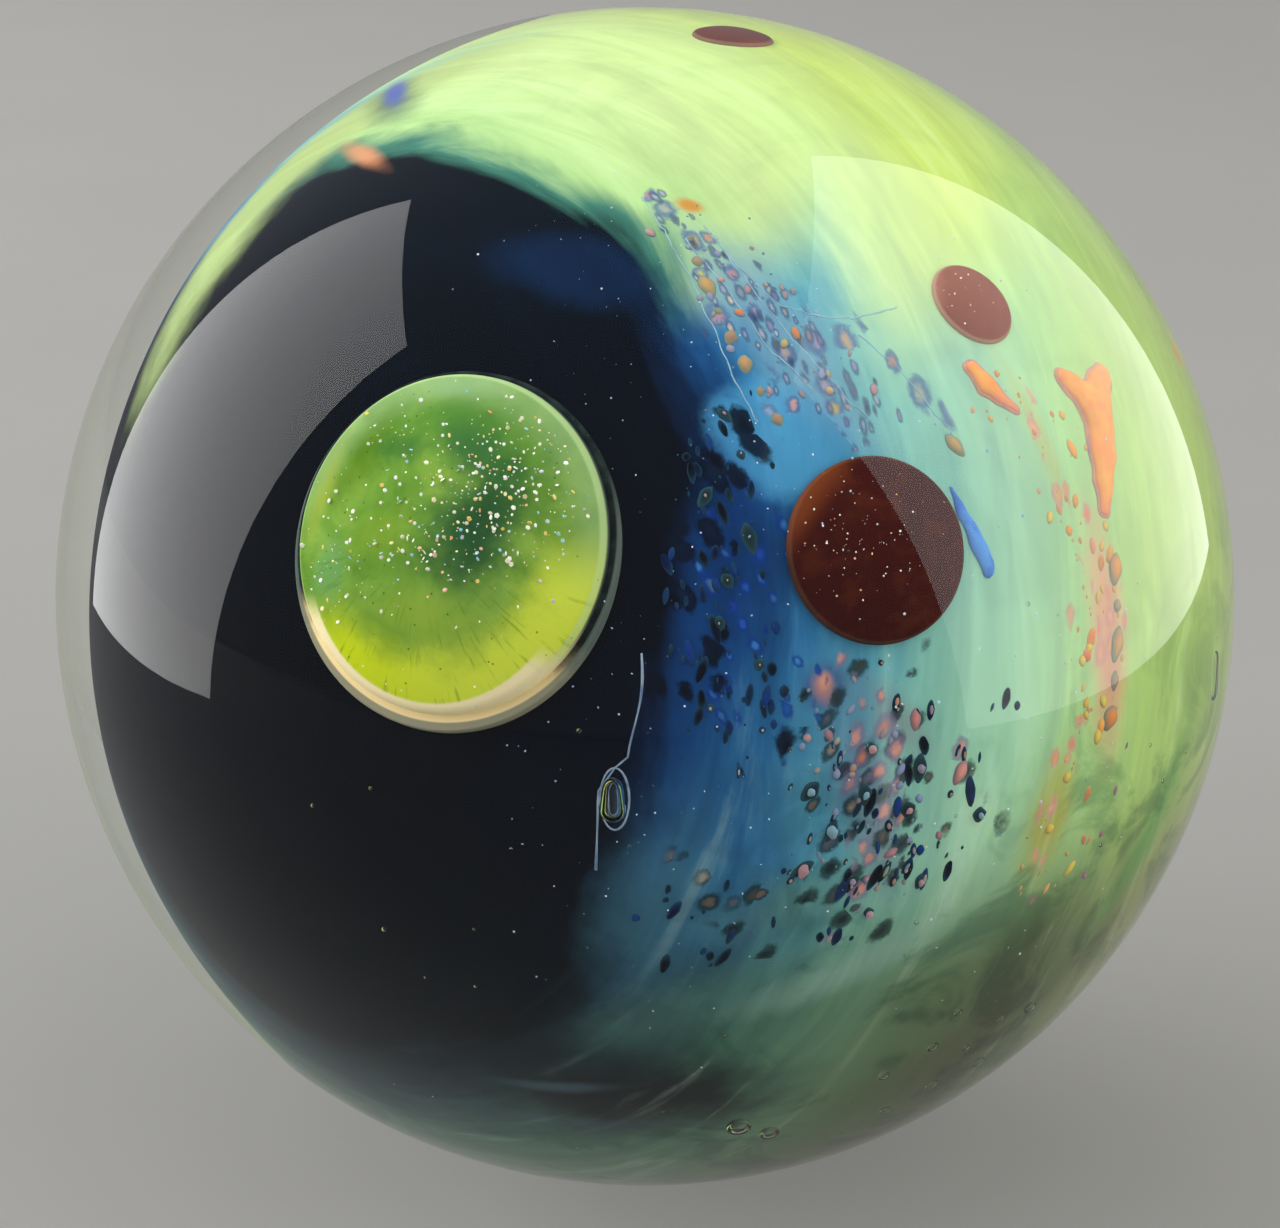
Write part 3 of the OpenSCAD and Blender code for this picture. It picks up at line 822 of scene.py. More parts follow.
redLook = {"wall": 0.25, "rise": 0.17, "sink": 0.5, "edge": 0.15}
redPlanets = {
    "bigRedPlanet": {"turn": 23, "lift": 26.5, "d": 4.8, "body": "#3a0c08", "edgeColour": "#7c3c1a", "slot": "dark_red_glass", "lip": 0.05},
    "middleRedPlanet": {"turn": 56, "lift": 50, "d": 2.4, "wall": 0.1, "body": "#864430", "edgeColour": "#a06450", "slot": "rose_brown_glass", "lip": 0.35},
    "smallRedPlanet": {"turn": 171, "lift": 66, "d": 1.9, "wall": 0.1, "body": "#5a1c12", "edgeColour": "#7c2c1c", "slot": "red_brown_glass", "lip": 0.2},
}


def redProfile(look):
    return cabochonProfile(
        {
            "d": look["d"],
            "wall": look.get("wall", redLook["wall"]),
            "dome": redLook["rise"] * look["d"],
            "sink": redLook["sink"],
            "edge": redLook["edge"],
        }
    )


# Maroon glass, browner along its upper left edge
def redColour(name, look):
    material, tree, shader, place = startMaterial(name + "Glass", 0.35)
    local = seatCoordinates(tree, place, seat(look["turn"], look["lift"]))
    cloud = noiseOf(tree, local, 1.4, 5.0, 0.6, 0.3).outputs[0]
    colour = mixColour(tree, fade(tree, cloud, 0.45, 0.7, 0.0, 0.16), paint(look["body"]), paint(look["edgeColour"]))
    parts = add(tree, "ShaderNodeSeparateXYZ", {0: local}).outputs
    upLeft = calc(tree, "SUBTRACT", parts["Y"], parts["X"])
    edgeShare = fade(tree, upLeft, 0.95 * look["d"] / 2, 1.4 * look["d"] / 2, 0.0, 0.8)
    colour = mixColour(tree, edgeShare, colour, paint(look["edgeColour"]))
    rim = calc(tree, "SQRT", calc(tree, "ADD", calc(tree, "POWER", parts["X"], 2.0), calc(tree, "POWER", parts["Y"], 2.0)))
    lip = fade(tree, rim, look["d"] / 2 - 0.09, look["d"] / 2 - 0.02, 0.0, look["lip"])
    colour = mixColour(tree, lip, colour, paint("#d8c09c"))
    tree.links.new(colour, shader.inputs["Base Color"])
    tree.links.new(calc(tree, "MULTIPLY_ADD", cloud, 0.3, 0.2), shader.inputs["Roughness"])
    return material


def redPlanet(name):
    look = redPlanets[name]
    mesh = latheMesh(name, redProfile(look), 128)
    mesh.transform(seat(look["turn"], look["lift"]))
    return newPiece(name, mesh, redColour(name, look))


# ---- Geometry Nodes: marks seated on places or scattered over a surface

markInputs = [
    ("Surface", "NodeSocketGeometry"),
    ("Mark", "NodeSocketObject"),
    ("Per square mm", "NodeSocketFloat"),
    ("Seed", "NodeSocketInt"),
    ("Smallest", "NodeSocketFloat"),
    ("Largest", "NodeSocketFloat"),
    ("Stretch", "NodeSocketFloat"),
    ("Thickness", "NodeSocketFloat"),
    ("Rise", "NodeSocketFloat"),
    ("Rise spread", "NodeSocketFloat"),
    ("Tumble", "NodeSocketFloat"),
    ("Yaw", "NodeSocketFloat"),
    ("Axis", "NodeSocketVector"),
    ("Material", "NodeSocketMaterial"),
]


def marksTree(name, scattered):
    tree = bpy.data.node_groups.new(name, "GeometryNodeTree")
    for label, kind in markInputs:
        tree.interface.new_socket(label, in_out="INPUT", socket_type=kind)
    tree.interface.new_socket("Marks", in_out="OUTPUT", socket_type="NodeSocketGeometry")
    given = add(tree, "NodeGroupInput").outputs
    if scattered:
        crowd = add(tree, "GeometryNodeInputNamedAttribute", {"Name": "crowd"}, data_type="FLOAT").outputs[0]
        density = calc(tree, "MULTIPLY", calc(tree, "MULTIPLY", crowd, given["Per square mm"]), 1 / (mm * mm))
        spread = add(
            tree,
            "GeometryNodeDistributePointsOnFaces",
            {"Mesh": given["Surface"], "Density": density, "Seed": given["Seed"]},
            distribute_method="RANDOM",
        )
        points, outwards, share = spread.outputs["Points"], spread.outputs["Normal"], 1.0
    else:
        points = given["Surface"]
        outwards = add(tree, "GeometryNodeInputNamedAttribute", {"Name": "outwards"}, data_type="FLOAT_VECTOR").outputs[0]
        share = add(tree, "GeometryNodeInputNamedAttribute", {"Name": "share"}, data_type="FLOAT").outputs[0]
    index = add(tree, "GeometryNodeInputIndex").outputs[0]

    def chance(low, high, offset, kind="FLOAT"):
        node = add(tree, "FunctionNodeRandomValue", data_type=kind)
        lowSocket, highSocket = (2, 3) if kind == "FLOAT" else (0, 1)
        for socket, value in ((lowSocket, low), (highSocket, high)):
            if isinstance(value, bpy.types.NodeSocket):
                tree.links.new(value, node.inputs[socket])
            else:
                node.inputs[socket].default_value = value
        tree.links.new(index, node.inputs["ID"])
        tree.links.new(calc(tree, "ADD", given["Seed"], offset), node.inputs["Seed"])
        return node.outputs["Value"] if kind == "FLOAT" else node.outputs[0]

    even = chance(0.0, 1.0, 3)
    few = calc(tree, "POWER", even, 2.0)  # more small marks than large ones
    span = calc(tree, "SUBTRACT", given["Largest"], given["Smallest"])
    size = calc(tree, "MULTIPLY", calc(tree, "MULTIPLY_ADD", few, span, given["Smallest"]), mm)
    size = calc(tree, "MULTIPLY", size, share)
    long = calc(tree, "MULTIPLY", size, calc(tree, "MULTIPLY_ADD", chance(0.0, 1.0, 5), calc(tree, "SUBTRACT", given["Stretch"], 1.0), 1.0))
    high = calc(tree, "MULTIPLY", size, given["Thickness"])
    scale = add(tree, "ShaderNodeCombineXYZ", {0: long, 1: size, 2: high}).outputs[0]
    flow = add(tree, "ShaderNodeVectorMath", {0: outwards, 1: given["Axis"]}, operation="CROSS_PRODUCT").outputs[0]
    upright = add(tree, "FunctionNodeAlignRotationToVector", {"Vector": outwards}, axis="Z").outputs[0]
    along = add(
        tree,
        "FunctionNodeAlignRotationToVector",
        {"Rotation": upright, "Vector": flow},
        axis="X",
        pivot_axis="Z",
    ).outputs[0]
    highTurn = add(tree, "ShaderNodeCombineXYZ", {0: given["Tumble"], 1: given["Tumble"], 2: given["Yaw"]}).outputs[0]
    lowTurn = add(tree, "ShaderNodeVectorMath", {0: highTurn, "Scale": -1.0}, operation="SCALE").outputs[0]
    tumble = add(tree, "FunctionNodeEulerToRotation", {0: chance(lowTurn, highTurn, 7, "FLOAT_VECTOR")}).outputs[0]
    turned = add(tree, "FunctionNodeRotateRotation", {"Rotation": along, "Rotate By": tumble}, rotation_space="LOCAL").outputs[0]
    sunk = calc(tree, "MULTIPLY", given["Rise spread"], chance(0.0, 1.0, 9))
    lift = calc(tree, "MULTIPLY", calc(tree, "MULTIPLY", given["Rise"], mm), calc(tree, "SUBTRACT", 1.0, sunk))
    offset = add(tree, "ShaderNodeVectorMath", {0: outwards, "Scale": lift}, operation="SCALE").outputs[0]
    raised = add(tree, "GeometryNodeSetPosition", {"Geometry": points, "Offset": offset}).outputs[0]
    mark = add(tree, "GeometryNodeObjectInfo", {"Object": given["Mark"]}).outputs["Geometry"]
    placed = add(
        tree,
        "GeometryNodeInstanceOnPoints",
        {"Points": raised, "Instance": mark, "Rotation": turned, "Scale": scale},
    ).outputs[0]
    toned = add(
        tree,
        "GeometryNodeStoreNamedAttribute",
        {"Geometry": placed, "Name": "tone", "Value": chance(0.0, 1.0, 13)},
        data_type="FLOAT",
        domain="INSTANCE",
    ).outputs[0]
    real = add(tree, "GeometryNodeRealizeInstances", {"Geometry": toned}).outputs[0]
    final = add(tree, "GeometryNodeSetMaterial", {"Geometry": real, "Material": given["Material"]}).outputs[0]
    tree.links.new(final, add(tree, "NodeGroupOutput").inputs[0])
    return tree


scatteredMarks = marksTree("scatteredMarks", True)
seatedMarks = marksTree("seatedMarks", False)


# Low or smooth pebble or thin plate that a tree repeats
def markShape(name, kind):
    shape = bmesh.new()
    if kind == "plate":
        bmesh.ops.create_cone(shape, cap_ends=True, segments=5, radius1=0.5, radius2=0.42, depth=0.2)
    elif kind == "lowPebble":
        bmesh.ops.create_uvsphere(shape, u_segments=12, v_segments=5, radius=0.5)
    else:
        bmesh.ops.create_icosphere(shape, subdivisions=4, radius=0.5)
    if kind != "plate":
        for vert in shape.verts:
            vert.co *= 1 + 0.3 * noise.noise(vert.co * 1.8 + Vector((4.1, 7.3, 1.7)))
    mesh = bpy.data.meshes.new(name)
    shape.to_mesh(mesh)
    shape.free()
    return newPiece(name, mesh, None, kind != "plate")


marks = {kind: markShape("mark" + kind.capitalize(), kind) for kind in ("plate", "lowPebble", "pebble")}


def runMarks(name, surface, tree, look, material):
    piece = newPiece(name, surface, None, False)
    values = {
        "Mark": marks[look["mark"]],
        "Per square mm": look.get("density", 0.0),
        "Seed": look["seed"],
        "Smallest": look["size"][0],
        "Largest": look["size"][1],
        "Stretch": look.get("stretch", 1.0),
        "Thickness": look.get("thickness", 0.5),
        "Rise": look.get("rise", 0.0),
        "Rise spread": look.get("riseSpread", 0.0),
        "Tumble": look.get("tumble", 0.0),
        "Yaw": look.get("yaw", look.get("tumble", 0.0)),
        "Axis": look.get("axis", tuple(direction(groundLook["bareTurn"], groundLook["bareLift"]))),
        "Material": material,
    }
    modifier = piece.modifiers.new("marks", "NODES")
    modifier.node_group = tree
    for item in tree.interface.items_tree:
        if item.in_out == "INPUT" and item.name in values:
            modifier[item.identifier] = values[item.name]
    bpy.context.view_layer.update()
    graph = bpy.context.evaluated_depsgraph_get()
    made = bpy.data.meshes.new_from_object(piece.evaluated_get(graph), preserve_all_data_layers=True, depsgraph=graph)
    piece.modifiers.remove(modifier)
    made.name = name
    piece.data = made
    print(name, len(made.polygons), "faces")
    return piece


# Places on the ground ball as loose points with their outward direction and size share
def placePoints(name, places):
    outs = [direction(turn, lift) for turn, lift, share in places]
    mesh = plainMesh(name, [groundCentre + out * groundRadius for out in outs], [])
    flat = [value for out in outs for value in out]
    mesh.attributes.new("outwards", "FLOAT_VECTOR", "POINT").data.foreach_set("vector", flat)
    mesh.attributes.new("share", "FLOAT", "POINT").data.foreach_set("value", [share for turn, lift, share in places])
    return mesh


# Band of surface on the ground ball along a path of places; marks crowd its middle line
def bandSurface(name, path, halfWidth, height=0.0):
    steps, across = 12, 10
    knots = [direction(turn, lift) for turn, lift in path]
    line = []
    for a, b in zip(knots, knots[1:]):
        for k in range(steps):
            line.append(a.slerp(b, k / steps))
    line.append(knots[-1])
    radius = groundRadius + height * mm
    points, crowd = [], []
    for k, here in enumerate(line):
        ahead = line[min(k + 1, len(line) - 1)] - line[max(k - 1, 0)]
        side = here.cross(ahead).normalized()
        ends = min(1.0, 5 * min(k, len(line) - 1 - k) / len(line))
        for j in range(across + 1):
            t = 2 * j / across - 1
            out = (here + side * (t * halfWidth / groundMm)).normalized()
            points.append(groundCentre + out * radius)
            crowd.append((1 - t * t) * (0.25 + 0.75 * ends))
    faces = []
    row = across + 1
    for k in range(len(line) - 1):
        for j in range(across):
            a = k * row + j
            faces.append((a, a + 1, a + row + 1, a + row))
    mesh = plainMesh(name, points, faces)
    centre = mesh.polygons[0]
    if centre.normal.dot(centre.center - groundCentre) < 0:
        mesh.flip_normals()
    attribute = mesh.attributes.new("crowd", "FLOAT", "POINT")
    attribute.data.foreach_set("value", crowd)
    return mesh


# Glass whose colour is picked mark by mark
def toneGlass(name, stops, roughness=0.35, mottle=0.25, edge=None, edgeHeight=0.12):
    material, tree, shader, place = startMaterial(name, roughness)
    tone = add(tree, "ShaderNodeAttribute", attribute_name="tone").outputs["Fac"]
    cloud = noiseOf(tree, place, 2600.0, 3.0).outputs[0]
    shifted = calc(tree, "MULTIPLY_ADD", calc(tree, "SUBTRACT", cloud, 0.5), mottle, tone)
    colour = rampOf(tree, shifted, stops)
    if edge:  # the colour thins out where a mark runs into the ground
        far = add(tree, "ShaderNodeVectorMath", {0: place, 1: groundCentre}, operation="DISTANCE").outputs["Value"]
        height = calc(tree, "MULTIPLY", calc(tree, "SUBTRACT", far, groundRadius), 1 / mm)
        colour = mixColour(tree, fade(tree, height, 0.0, edgeHeight), paint(edge), colour)
    tree.links.new(colour, shader.inputs["Base Color"])
    tree.links.new(calc(tree, "MULTIPLY_ADD", cloud, 0.2, roughness - 0.1), shader.inputs["Roughness"])
    return material


print("trees and shapes ready")

# ---- seated marks, at the places of the CAD's grains and dots

fritLook = {"d": 0.8, "proud": 0.45, "rowCount": 8, "tailCount": 5}
dotLook = {"d": 0.9, "bead": 0.3, "seamCount": 8, "fieldCount": 16, "fieldStep": 3.2, "fieldPlace": (22, -3)}


def fieldPlace(i):
    turn, lift = dotLook["fieldPlace"]
    far = dotLook["fieldStep"] * math.sqrt(i + 0.5)
    a = math.radians(i * goldenAngle)
    return turn + far * math.cos(a) / math.cos(math.radians(lift)), lift + far * math.sin(a)


def seamPlace(i):
    return 4.5 + 3 * math.sin(math.radians(i * goldenAngle)), 43 - 4.6 * i


def amberPlaces():
    d = fritLook["d"]
    places = [(58 - 1.1 * i, 16.5 - 4 * i, d * (0.75 - 0.25 * (i % 2))) for i in range(fritLook["tailCount"])]
    places += [(-1 + 1.9 * i, 66 - 3.4 * i, d * (0.45 + 0.12 * (i % 3 - 1))) for i in range(fritLook["rowCount"])]
    return places + [(38, 36, 0.6 * d)]


def pinkPlaces():
    d = fritLook["d"]
    places = [(*fieldPlace(i), 0.7 * d) for i in range(2, dotLook["fieldCount"], 3)]
    return places + [(57 - 1.4 * i, -4 - 5 * i, d * (0.45 + 0.15 * (i % 2))) for i in range(4)]


def dotPlaces(seamShare=1.0):
    places = [(*seamPlace(i), 0.8 * seamShare) for i in range(dotLook["seamCount"])]
    return places + [(*fieldPlace(i), 1.0) for i in range(dotLook["fieldCount"]) if i % 3 != 2]


# Soft lump grown over a chain of balls (x, y, radius in mm), flattened on the ground and remeshed
def meltedLump(name, chains, place, flat, voxel=0.05):
    shape = bmesh.new()
    for chain in chains:
        for (x0, y0, r0), (x1, y1, r1) in zip(chain, chain[1:]):
            count = max(2, int(math.hypot(x1 - x0, y1 - y0) / 0.12))
            for k in range(count + 1):
                t = k / count
                here = Vector((x0 + (x1 - x0) * t, y0 + (y1 - y0) * t, 0))
                made = bmesh.ops.create_icosphere(shape, subdivisions=2, radius=r0 + (r1 - r0) * t)["verts"]
                bmesh.ops.translate(shape, vec=here, verts=made)
    mesh = bpy.data.meshes.new(name)
    shape.to_mesh(mesh)
    shape.free()
    lump = newPiece(name, mesh, None, True)
    remesh = lump.modifiers.new("remesh", "REMESH")
    remesh.mode, remesh.voxel_size = "VOXEL", voxel
    soften = lump.modifiers.new("soften", "SMOOTH")
    soften.iterations, soften.factor = 6, 0.5
    bpy.context.view_layer.update()
    graph = bpy.context.evaluated_depsgraph_get()
    made = bpy.data.meshes.new_from_object(lump.evaluated_get(graph), depsgraph=graph)
    lump.modifiers.clear()
    # wavy outline, then laid on the curved ground
    matrix = seat(*place)
    coordinates = np.zeros(len(made.vertices) * 3)
    made.vertices.foreach_get("co", coordinates)
    bent = []
    for x, y, z in coordinates.reshape(-1, 3):
        x += 0.09 * noise.noise(Vector((x * 1.9, y * 1.9, 3.0)))
        y += 0.09 * noise.noise(Vector((x * 1.9, y * 1.9, 9.0)))
        out = Vector((x, y, groundMm)).normalized() * (groundMm + z * flat) - Vector((0, 0, groundMm))
        bent.append(matrix @ out)
    made.vertices.foreach_set("co", [c for point in bent for c in point])
    made.update()
    made.name = name
    made.shade_smooth()
    lump.data = made
    return lump


def joinPieces(name, pieces):
    shape = bmesh.new()
    materials = []
    toneOf = []
    for piece in pieces:
        mesh = piece.data
        offset = len(materials)
        materials += list(mesh.materials)
        mesh.polygons.foreach_set("material_index", [p.material_index + offset for p in mesh.polygons])
        shape.from_mesh(mesh)
        if "tone" in mesh.attributes:
            values = np.zeros(len(mesh.vertices), np.float32)
            mesh.attributes["tone"].data.foreach_get("value", values)
            toneOf += list(values)
        else:
            toneOf += [0.5] * len(mesh.vertices)
        bpy.data.objects.remove(piece)
    joined = bpy.data.meshes.new(name)
    shape.to_mesh(joined)
    shape.free()
    for material in materials:
        joined.materials.append(material)
    if "tone" in joined.attributes:
        joined.attributes.remove(joined.attributes["tone"])
    joined.attributes.new("tone", "FLOAT", "POINT").data.foreach_set("value", toneOf)
    return newPiece(name, joined)


amberStops = [(0.0, "#d8743c"), (0.3, "#e89a4c"), (0.6, "#dcb454"), (0.85, "#d06848"), (1.0, "#c4bc58")]
forkStops = [(0.0, "#fcbc60"), (0.4, "#faac54"), (0.6, "#f69c50"), (0.8, "#f09a6c"), (1.0, "#f8c46c")]
pinkStops = [(0.0, "#e59a80"), (0.5, "#f0a08c"), (0.8, "#e0764e"), (1.0, "#caa07c")]
forkLook = {
    "place": (62, 31, 0),
    "heart": [
        [(0.35, 1.5, 0.34), (0.6, 1.05, 0.46), (0.85, 0.5, 0.66), (0.4, -0.4, 0.54), (-0.2, -1.2, 0.4), (-0.6, -1.9, 0.2)],
        [(2.05, 1.05, 0.36), (1.5, 0.8, 0.5), (0.85, 0.5, 0.66)],
    ],
    "side": [[(-0.4, 0.7, 0.26), (-0.3, 0.2, 0.32), (-0.05, -0.25, 0.2), (0.2, -0.6, 0.12)]],
    "sidePlace": (49.6, 40.3, 0),
    "halo": 0.06,
}
tongueLook = {"place": (36.4, 26, 0), "chain": [[(-0.25, 1.3, 0.08), (-0.1, 0.5, 0.17), (0.12, -0.4, 0.25), (0.2, -1.0, 0.2)]]}


def widened(chains, extra):
    return [[(x, y, r + extra) for x, y, r in chain] for chain in chains]


def amberFrit():
    glass = toneGlass("amberFritGlass", amberStops, edge="#7f8c7c", edgeHeight=0.16)
    mottled = toneGlass("amberForkGlass", forkStops, mottle=1.1, edge="#e09080", edgeHeight=0.2)
    look = {"mark": "pebble", "seed": 4, "size": (0.9, 1.08), "stretch": 1.8, "thickness": 0.5, "rise": -0.03, "yaw": 0.7}
    grains = runMarks("amberGrains", placePoints("amberGrains", amberPlaces()), seatedMarks, look, glass)
    fork = meltedLump("amberFork", forkLook["heart"], forkLook["place"], 0.75)
    side = meltedLump("amberDrop", forkLook["side"], forkLook["sidePlace"], 0.75)
    for lump in (fork, side):
        lump.data.materials.append(mottled)
    return joinPieces("amberFrit", [grains, fork, side])


def pinkFrit():
    look = {"mark": "pebble", "seed": 6, "size": (0.42, 0.75), "stretch": 1.9, "thickness": 0.6, "rise": -0.03, "yaw": 0.9}
    glass = toneGlass("pinkFritGlass", pinkStops, mottle=0.8, edge="#8c7480", edgeHeight=0.14)
    return runMarks("pinkFrit", placePoints("pinkFrit", pinkPlaces()), seatedMarks, look, glass)


def darkDots():
    d = dotLook["d"]
    look = {"mark": "pebble", "seed": 8, "size": (0.3 * d, 0.6 * d), "stretch": 2.0, "thickness": 0.6, "rise": -0.02, "yaw": 0.7}
    glass = toneGlass("dotGlass", [(0.0, "#0c1a24"), (0.4, "#182c30"), (0.7, "#182a48"), (1.0, "#263830")], edge="#2a5058", edgeHeight=0.14)
    return runMarks("darkDots", placePoints("darkDots", dotPlaces()), seatedMarks, look, glass)


def paleBeads():
    bead = dotLook["bead"]
    look = {"mark": "pebble", "seed": 9, "size": (0.5 * bead, bead), "stretch": 1.6, "thickness": 0.7, "rise": 0.16, "yaw": 0.9}
    glass = toneGlass("beadGlass", [(0.0, "#6f8cae"), (0.3, "#c98c7c"), (0.6, "#7fa8b8"), (0.8, "#b08ca8"), (1.0, "#d8b48c")])
    return runMarks("paleBeads", placePoints("paleBeads", dotPlaces(0.35)), seatedMarks, look, glass)


def blueTongue():
    lump = meltedLump("blueTongue", tongueLook["chain"], tongueLook["place"], 0.6)
    lump.data.materials.append(meltedGlass("tongueGlass", "#5c9ee4", "#2a58b4", 900.0, 0.7))
    return lump


# Thin coral halos that spread under the fork and the drop
def fritHalos():
    pink = meltedGlass("pinkHaloGlass", "#cf9c80", "#a88890", 1500.0, 0.8)
    forkHalo = meltedLump("forkHalo", widened(forkLook["heart"], forkLook["halo"]), forkLook["place"], 0.3)
    sideHalo = meltedLump("sideHalo", widened(forkLook["side"], forkLook["halo"]), forkLook["sidePlace"], 0.3)
    for lump in (forkHalo, sideHalo):
        lump.data.materials.append(pink)
    return joinPieces("fritHalos", [forkHalo, sideHalo])


# ---- scattered marks

flatStops = {
    "dash": [(0.0, "#03070f"), (0.45, "#071020"), (0.7, "#0a1c4c"), (0.9, "#143c8c"), (1.0, "#1c2a3a")],
    "heart": [(0.0, "#8aa48c"), (0.4, "#c48a70"), (0.6, "#5a86a8"), (1.0, "#d0b48c")],
    "crumb": [(0.0, "#e09a48"), (0.15, "#d8824c"), (0.28, "#8f9cc4"), (0.5, "#a494bc"), (0.65, "#6f9cc8"), (0.78, "#c8b060"), (0.9, "#c08a8a"), (1.0, "#e0a08c")],
    "warm": [(0.0, "#e07a48"), (0.3, "#f0a848"), (0.55, "#dcd050"), (0.8, "#cc6450"), (1.0, "#f09c88")],
    # real glitter flecks with painted glints: matt near-white colours stand in for the light they catch
    "fleckGlint": [(0.0, "#ffffff"), (0.5, "#fbf8d8"), (0.7, "#f6d060"), (0.85, "#9cdcf8"), (1.0, "#f8a878")],
    "sparkle": [(0.0, "#b8d8f0"), (0.5, "#e8f4f8"), (0.8, "#7aa8e0"), (1.0, "#f0e4b8")],
}
edgeCodes = {"dash": "#1c4258", "crumb": "#6f8c9c", "warm": "#c8a878"}
dashSize = {"mark": "lowPebble", "stretch": 3.2, "thickness": 0.5, "tumble": 0.15, "yaw": 0.35, "stops": "dash"}
crumbSize = {"mark": "lowPebble", "stretch": 1.9, "tumble": 0.1, "yaw": 0.6}
glint = {"mark": "plate", "height": 0.05, "thickness": 1.0, "riseSpread": 1.0, "tumble": 1.2, "stops": "sparkle"}
seamPath = [(1, 45), (2.5, 38), (2.5, 30), (4, 18), (4, 8), (6, 2)]
rowPath = [(0, 71), (7, 63), (13, 55), (19, 48), (23, 42)]
fieldPath = [(14, 14), (18, 4), (21, -6), (19, -16)]
widePath = [(32, 10), (27, -4), (16, -12), (8, -18)]
forkPath = [(47, 44), (55, 31), (55, 16), (52, 4), (49, -8), (44, -20)]

# Each band: path of places, half width in mm, marks for each square mm and the marks' own sizes in mm
bandLooks = {
    "seamDashes": {**dashSize, "path": seamPath, "half": 1.6, "density": 5.0, "seed": 21, "size": (0.06, 0.28)},
    "fieldDashes": {**dashSize, "path": fieldPath, "half": 3.0, "density": 1.6, "seed": 22, "size": (0.08, 0.24)},
    "fieldHearts": {
        **dashSize,
        "path": fieldPath,
        "half": 3.0,
        "density": 1.6,
        "seed": 22,
        "size": (0.03, 0.11),
        "rise": 0.08,
        "stops": "heart",
    },
    "wideDashes": {**dashSize, "path": widePath, "half": 2.2, "density": 1.4, "seed": 23, "size": (0.1, 0.34)},
    "lowDashes": {**dashSize, "path": [(-5, -9), (1, -15), (0, -24)], "half": 1.4, "density": 1.6, "seed": 29, "size": (0.1, 0.3)},
    "rowCrumbs": {**crumbSize, "path": rowPath, "half": 1.8, "density": 4.5, "seed": 24, "size": (0.05, 0.26), "thickness": 0.5, "stops": "crumb"},
    "fieldCrumbs": {**crumbSize, "path": fieldPath, "half": 1.8, "density": 4.0, "seed": 25, "size": (0.05, 0.24), "thickness": 0.5, "stops": "crumb"},
    "forkCrumbs": {**crumbSize, "path": forkPath, "half": 1.5, "density": 4.5, "seed": 26, "size": (0.05, 0.34), "thickness": 0.45, "stops": "warm"},
    "darkSparkles": {
        **glint,
        "path": [(-50, 60), (-20, 58), (2, 50), (0, 30), (-6, 5), (0, -14), (12, -24)],
        "half": 5.0,
        "density": 1.6,
        "seed": 27,
        "size": (0.015, 0.07),
        "rise": 1.2,
    },
    "wideSparkles": {
        **glint,
        "path": [(30, 64), (44, 30), (40, 0), (30, -30)],
        "half": 8.0,
        "density": 1.0,
        "seed": 28,
        "size": (0.02, 0.1),
        "rise": 1.5,
    },
}


def scatteredBand(name):
    look = bandLooks[name]
    surface = bandSurface(name, look["path"], look["half"], look.get("height", 0.0))
    glass = toneGlass(name + "Glass", flatStops[look["stops"]], edge=edgeCodes.get(look["stops"]), edgeHeight=0.07)
    return runMarks(name, surface, scatteredMarks, look, glass)


# Glitter flecks held in the top glass of a planet, thicker around a middle given in mm. The flecks are real; their
# near-white colours are painted glints
def domeFlecks(name, profile, place, middles, look):
    radius = max(r for r, z in profile) * 0.93
    zOf = sorted((r, z) for r, z in profile[:61])
    radii, heights = [r for r, z in zOf], [z for r, z in zOf]
    rings, segments = 24, 64
    points, crowd = [], []
    for ring in range(rings + 1):
        r = radius * max(ring, 0.02) / rings
        z = float(np.interp(r, radii, heights))
        for k in range(segments):
            a = 2 * math.pi * k / segments
            x, y = r * math.cos(a), r * math.sin(a)
            points.append(place @ Vector((x, y, z)))
            near = [share * math.exp(-((x - cx) ** 2 + (y - cy) ** 2) / (2 * spread**2)) for cx, cy, spread, share in middles]
            crowd.append(sum(near))
    faces = []
    for ring in range(rings):
        for k in range(segments):
            a, b = ring * segments + k, ring * segments + (k + 1) % segments
            faces.append((a, a + segments, b + segments, b))
    surface = plainMesh(name, points, faces)
    surface.attributes.new("crowd", "FLOAT", "POINT").data.foreach_set("value", crowd)
    return runMarks(name, surface, scatteredMarks, look, toneGlass(name + "Glass", flatStops["fleckGlint"], 0.3))


fleckLook = {
    "mark": "plate",
    "density": 27.0,
    "seed": 31,
    "size": (0.03, 0.16),
    "thickness": 0.8,
    "rise": 0.5,
    "riseSpread": 1.0,
    "tumble": 1.0,
}
fleckMiddles = [
    (1.7, 1.9, 1.2, 1.0),
    (0.9, 0.9, 0.9, 0.8),
    (-0.1, -0.5, 0.5, 0.8),
    (-2.2, -0.9, 0.9, 0.5),
    (-1.6, 2.2, 0.8, 0.4),
    (0.0, 0.0, 3.5, 0.06),
]
redFleckLook = {"mark": "plate", "density": 14.0, "seed": 33, "size": (0.02, 0.075), "thickness": 0.8, "rise": 0.1, "riseSpread": 1.0, "tumble": 0.8}


def planetFlecks():
    place = seat(planetLook["turn"], planetLook["lift"])
    return domeFlecks("planetFlecks", cabochonProfile(planetLook), place, fleckMiddles, fleckLook)


def redFlecks(name):
    look = redPlanets[name]
    place = seat(look["turn"], look["lift"])
    middles = [(-0.15 * look["d"], 0.1 * look["d"], 0.22 * look["d"], 1.0)]
    return domeFlecks(name + "Flecks", redProfile(look), place, middles, redFleckLook)


# ---- threads of white glass: one ends in a loop round the drop-shaped bubble, thin ones lie along the row

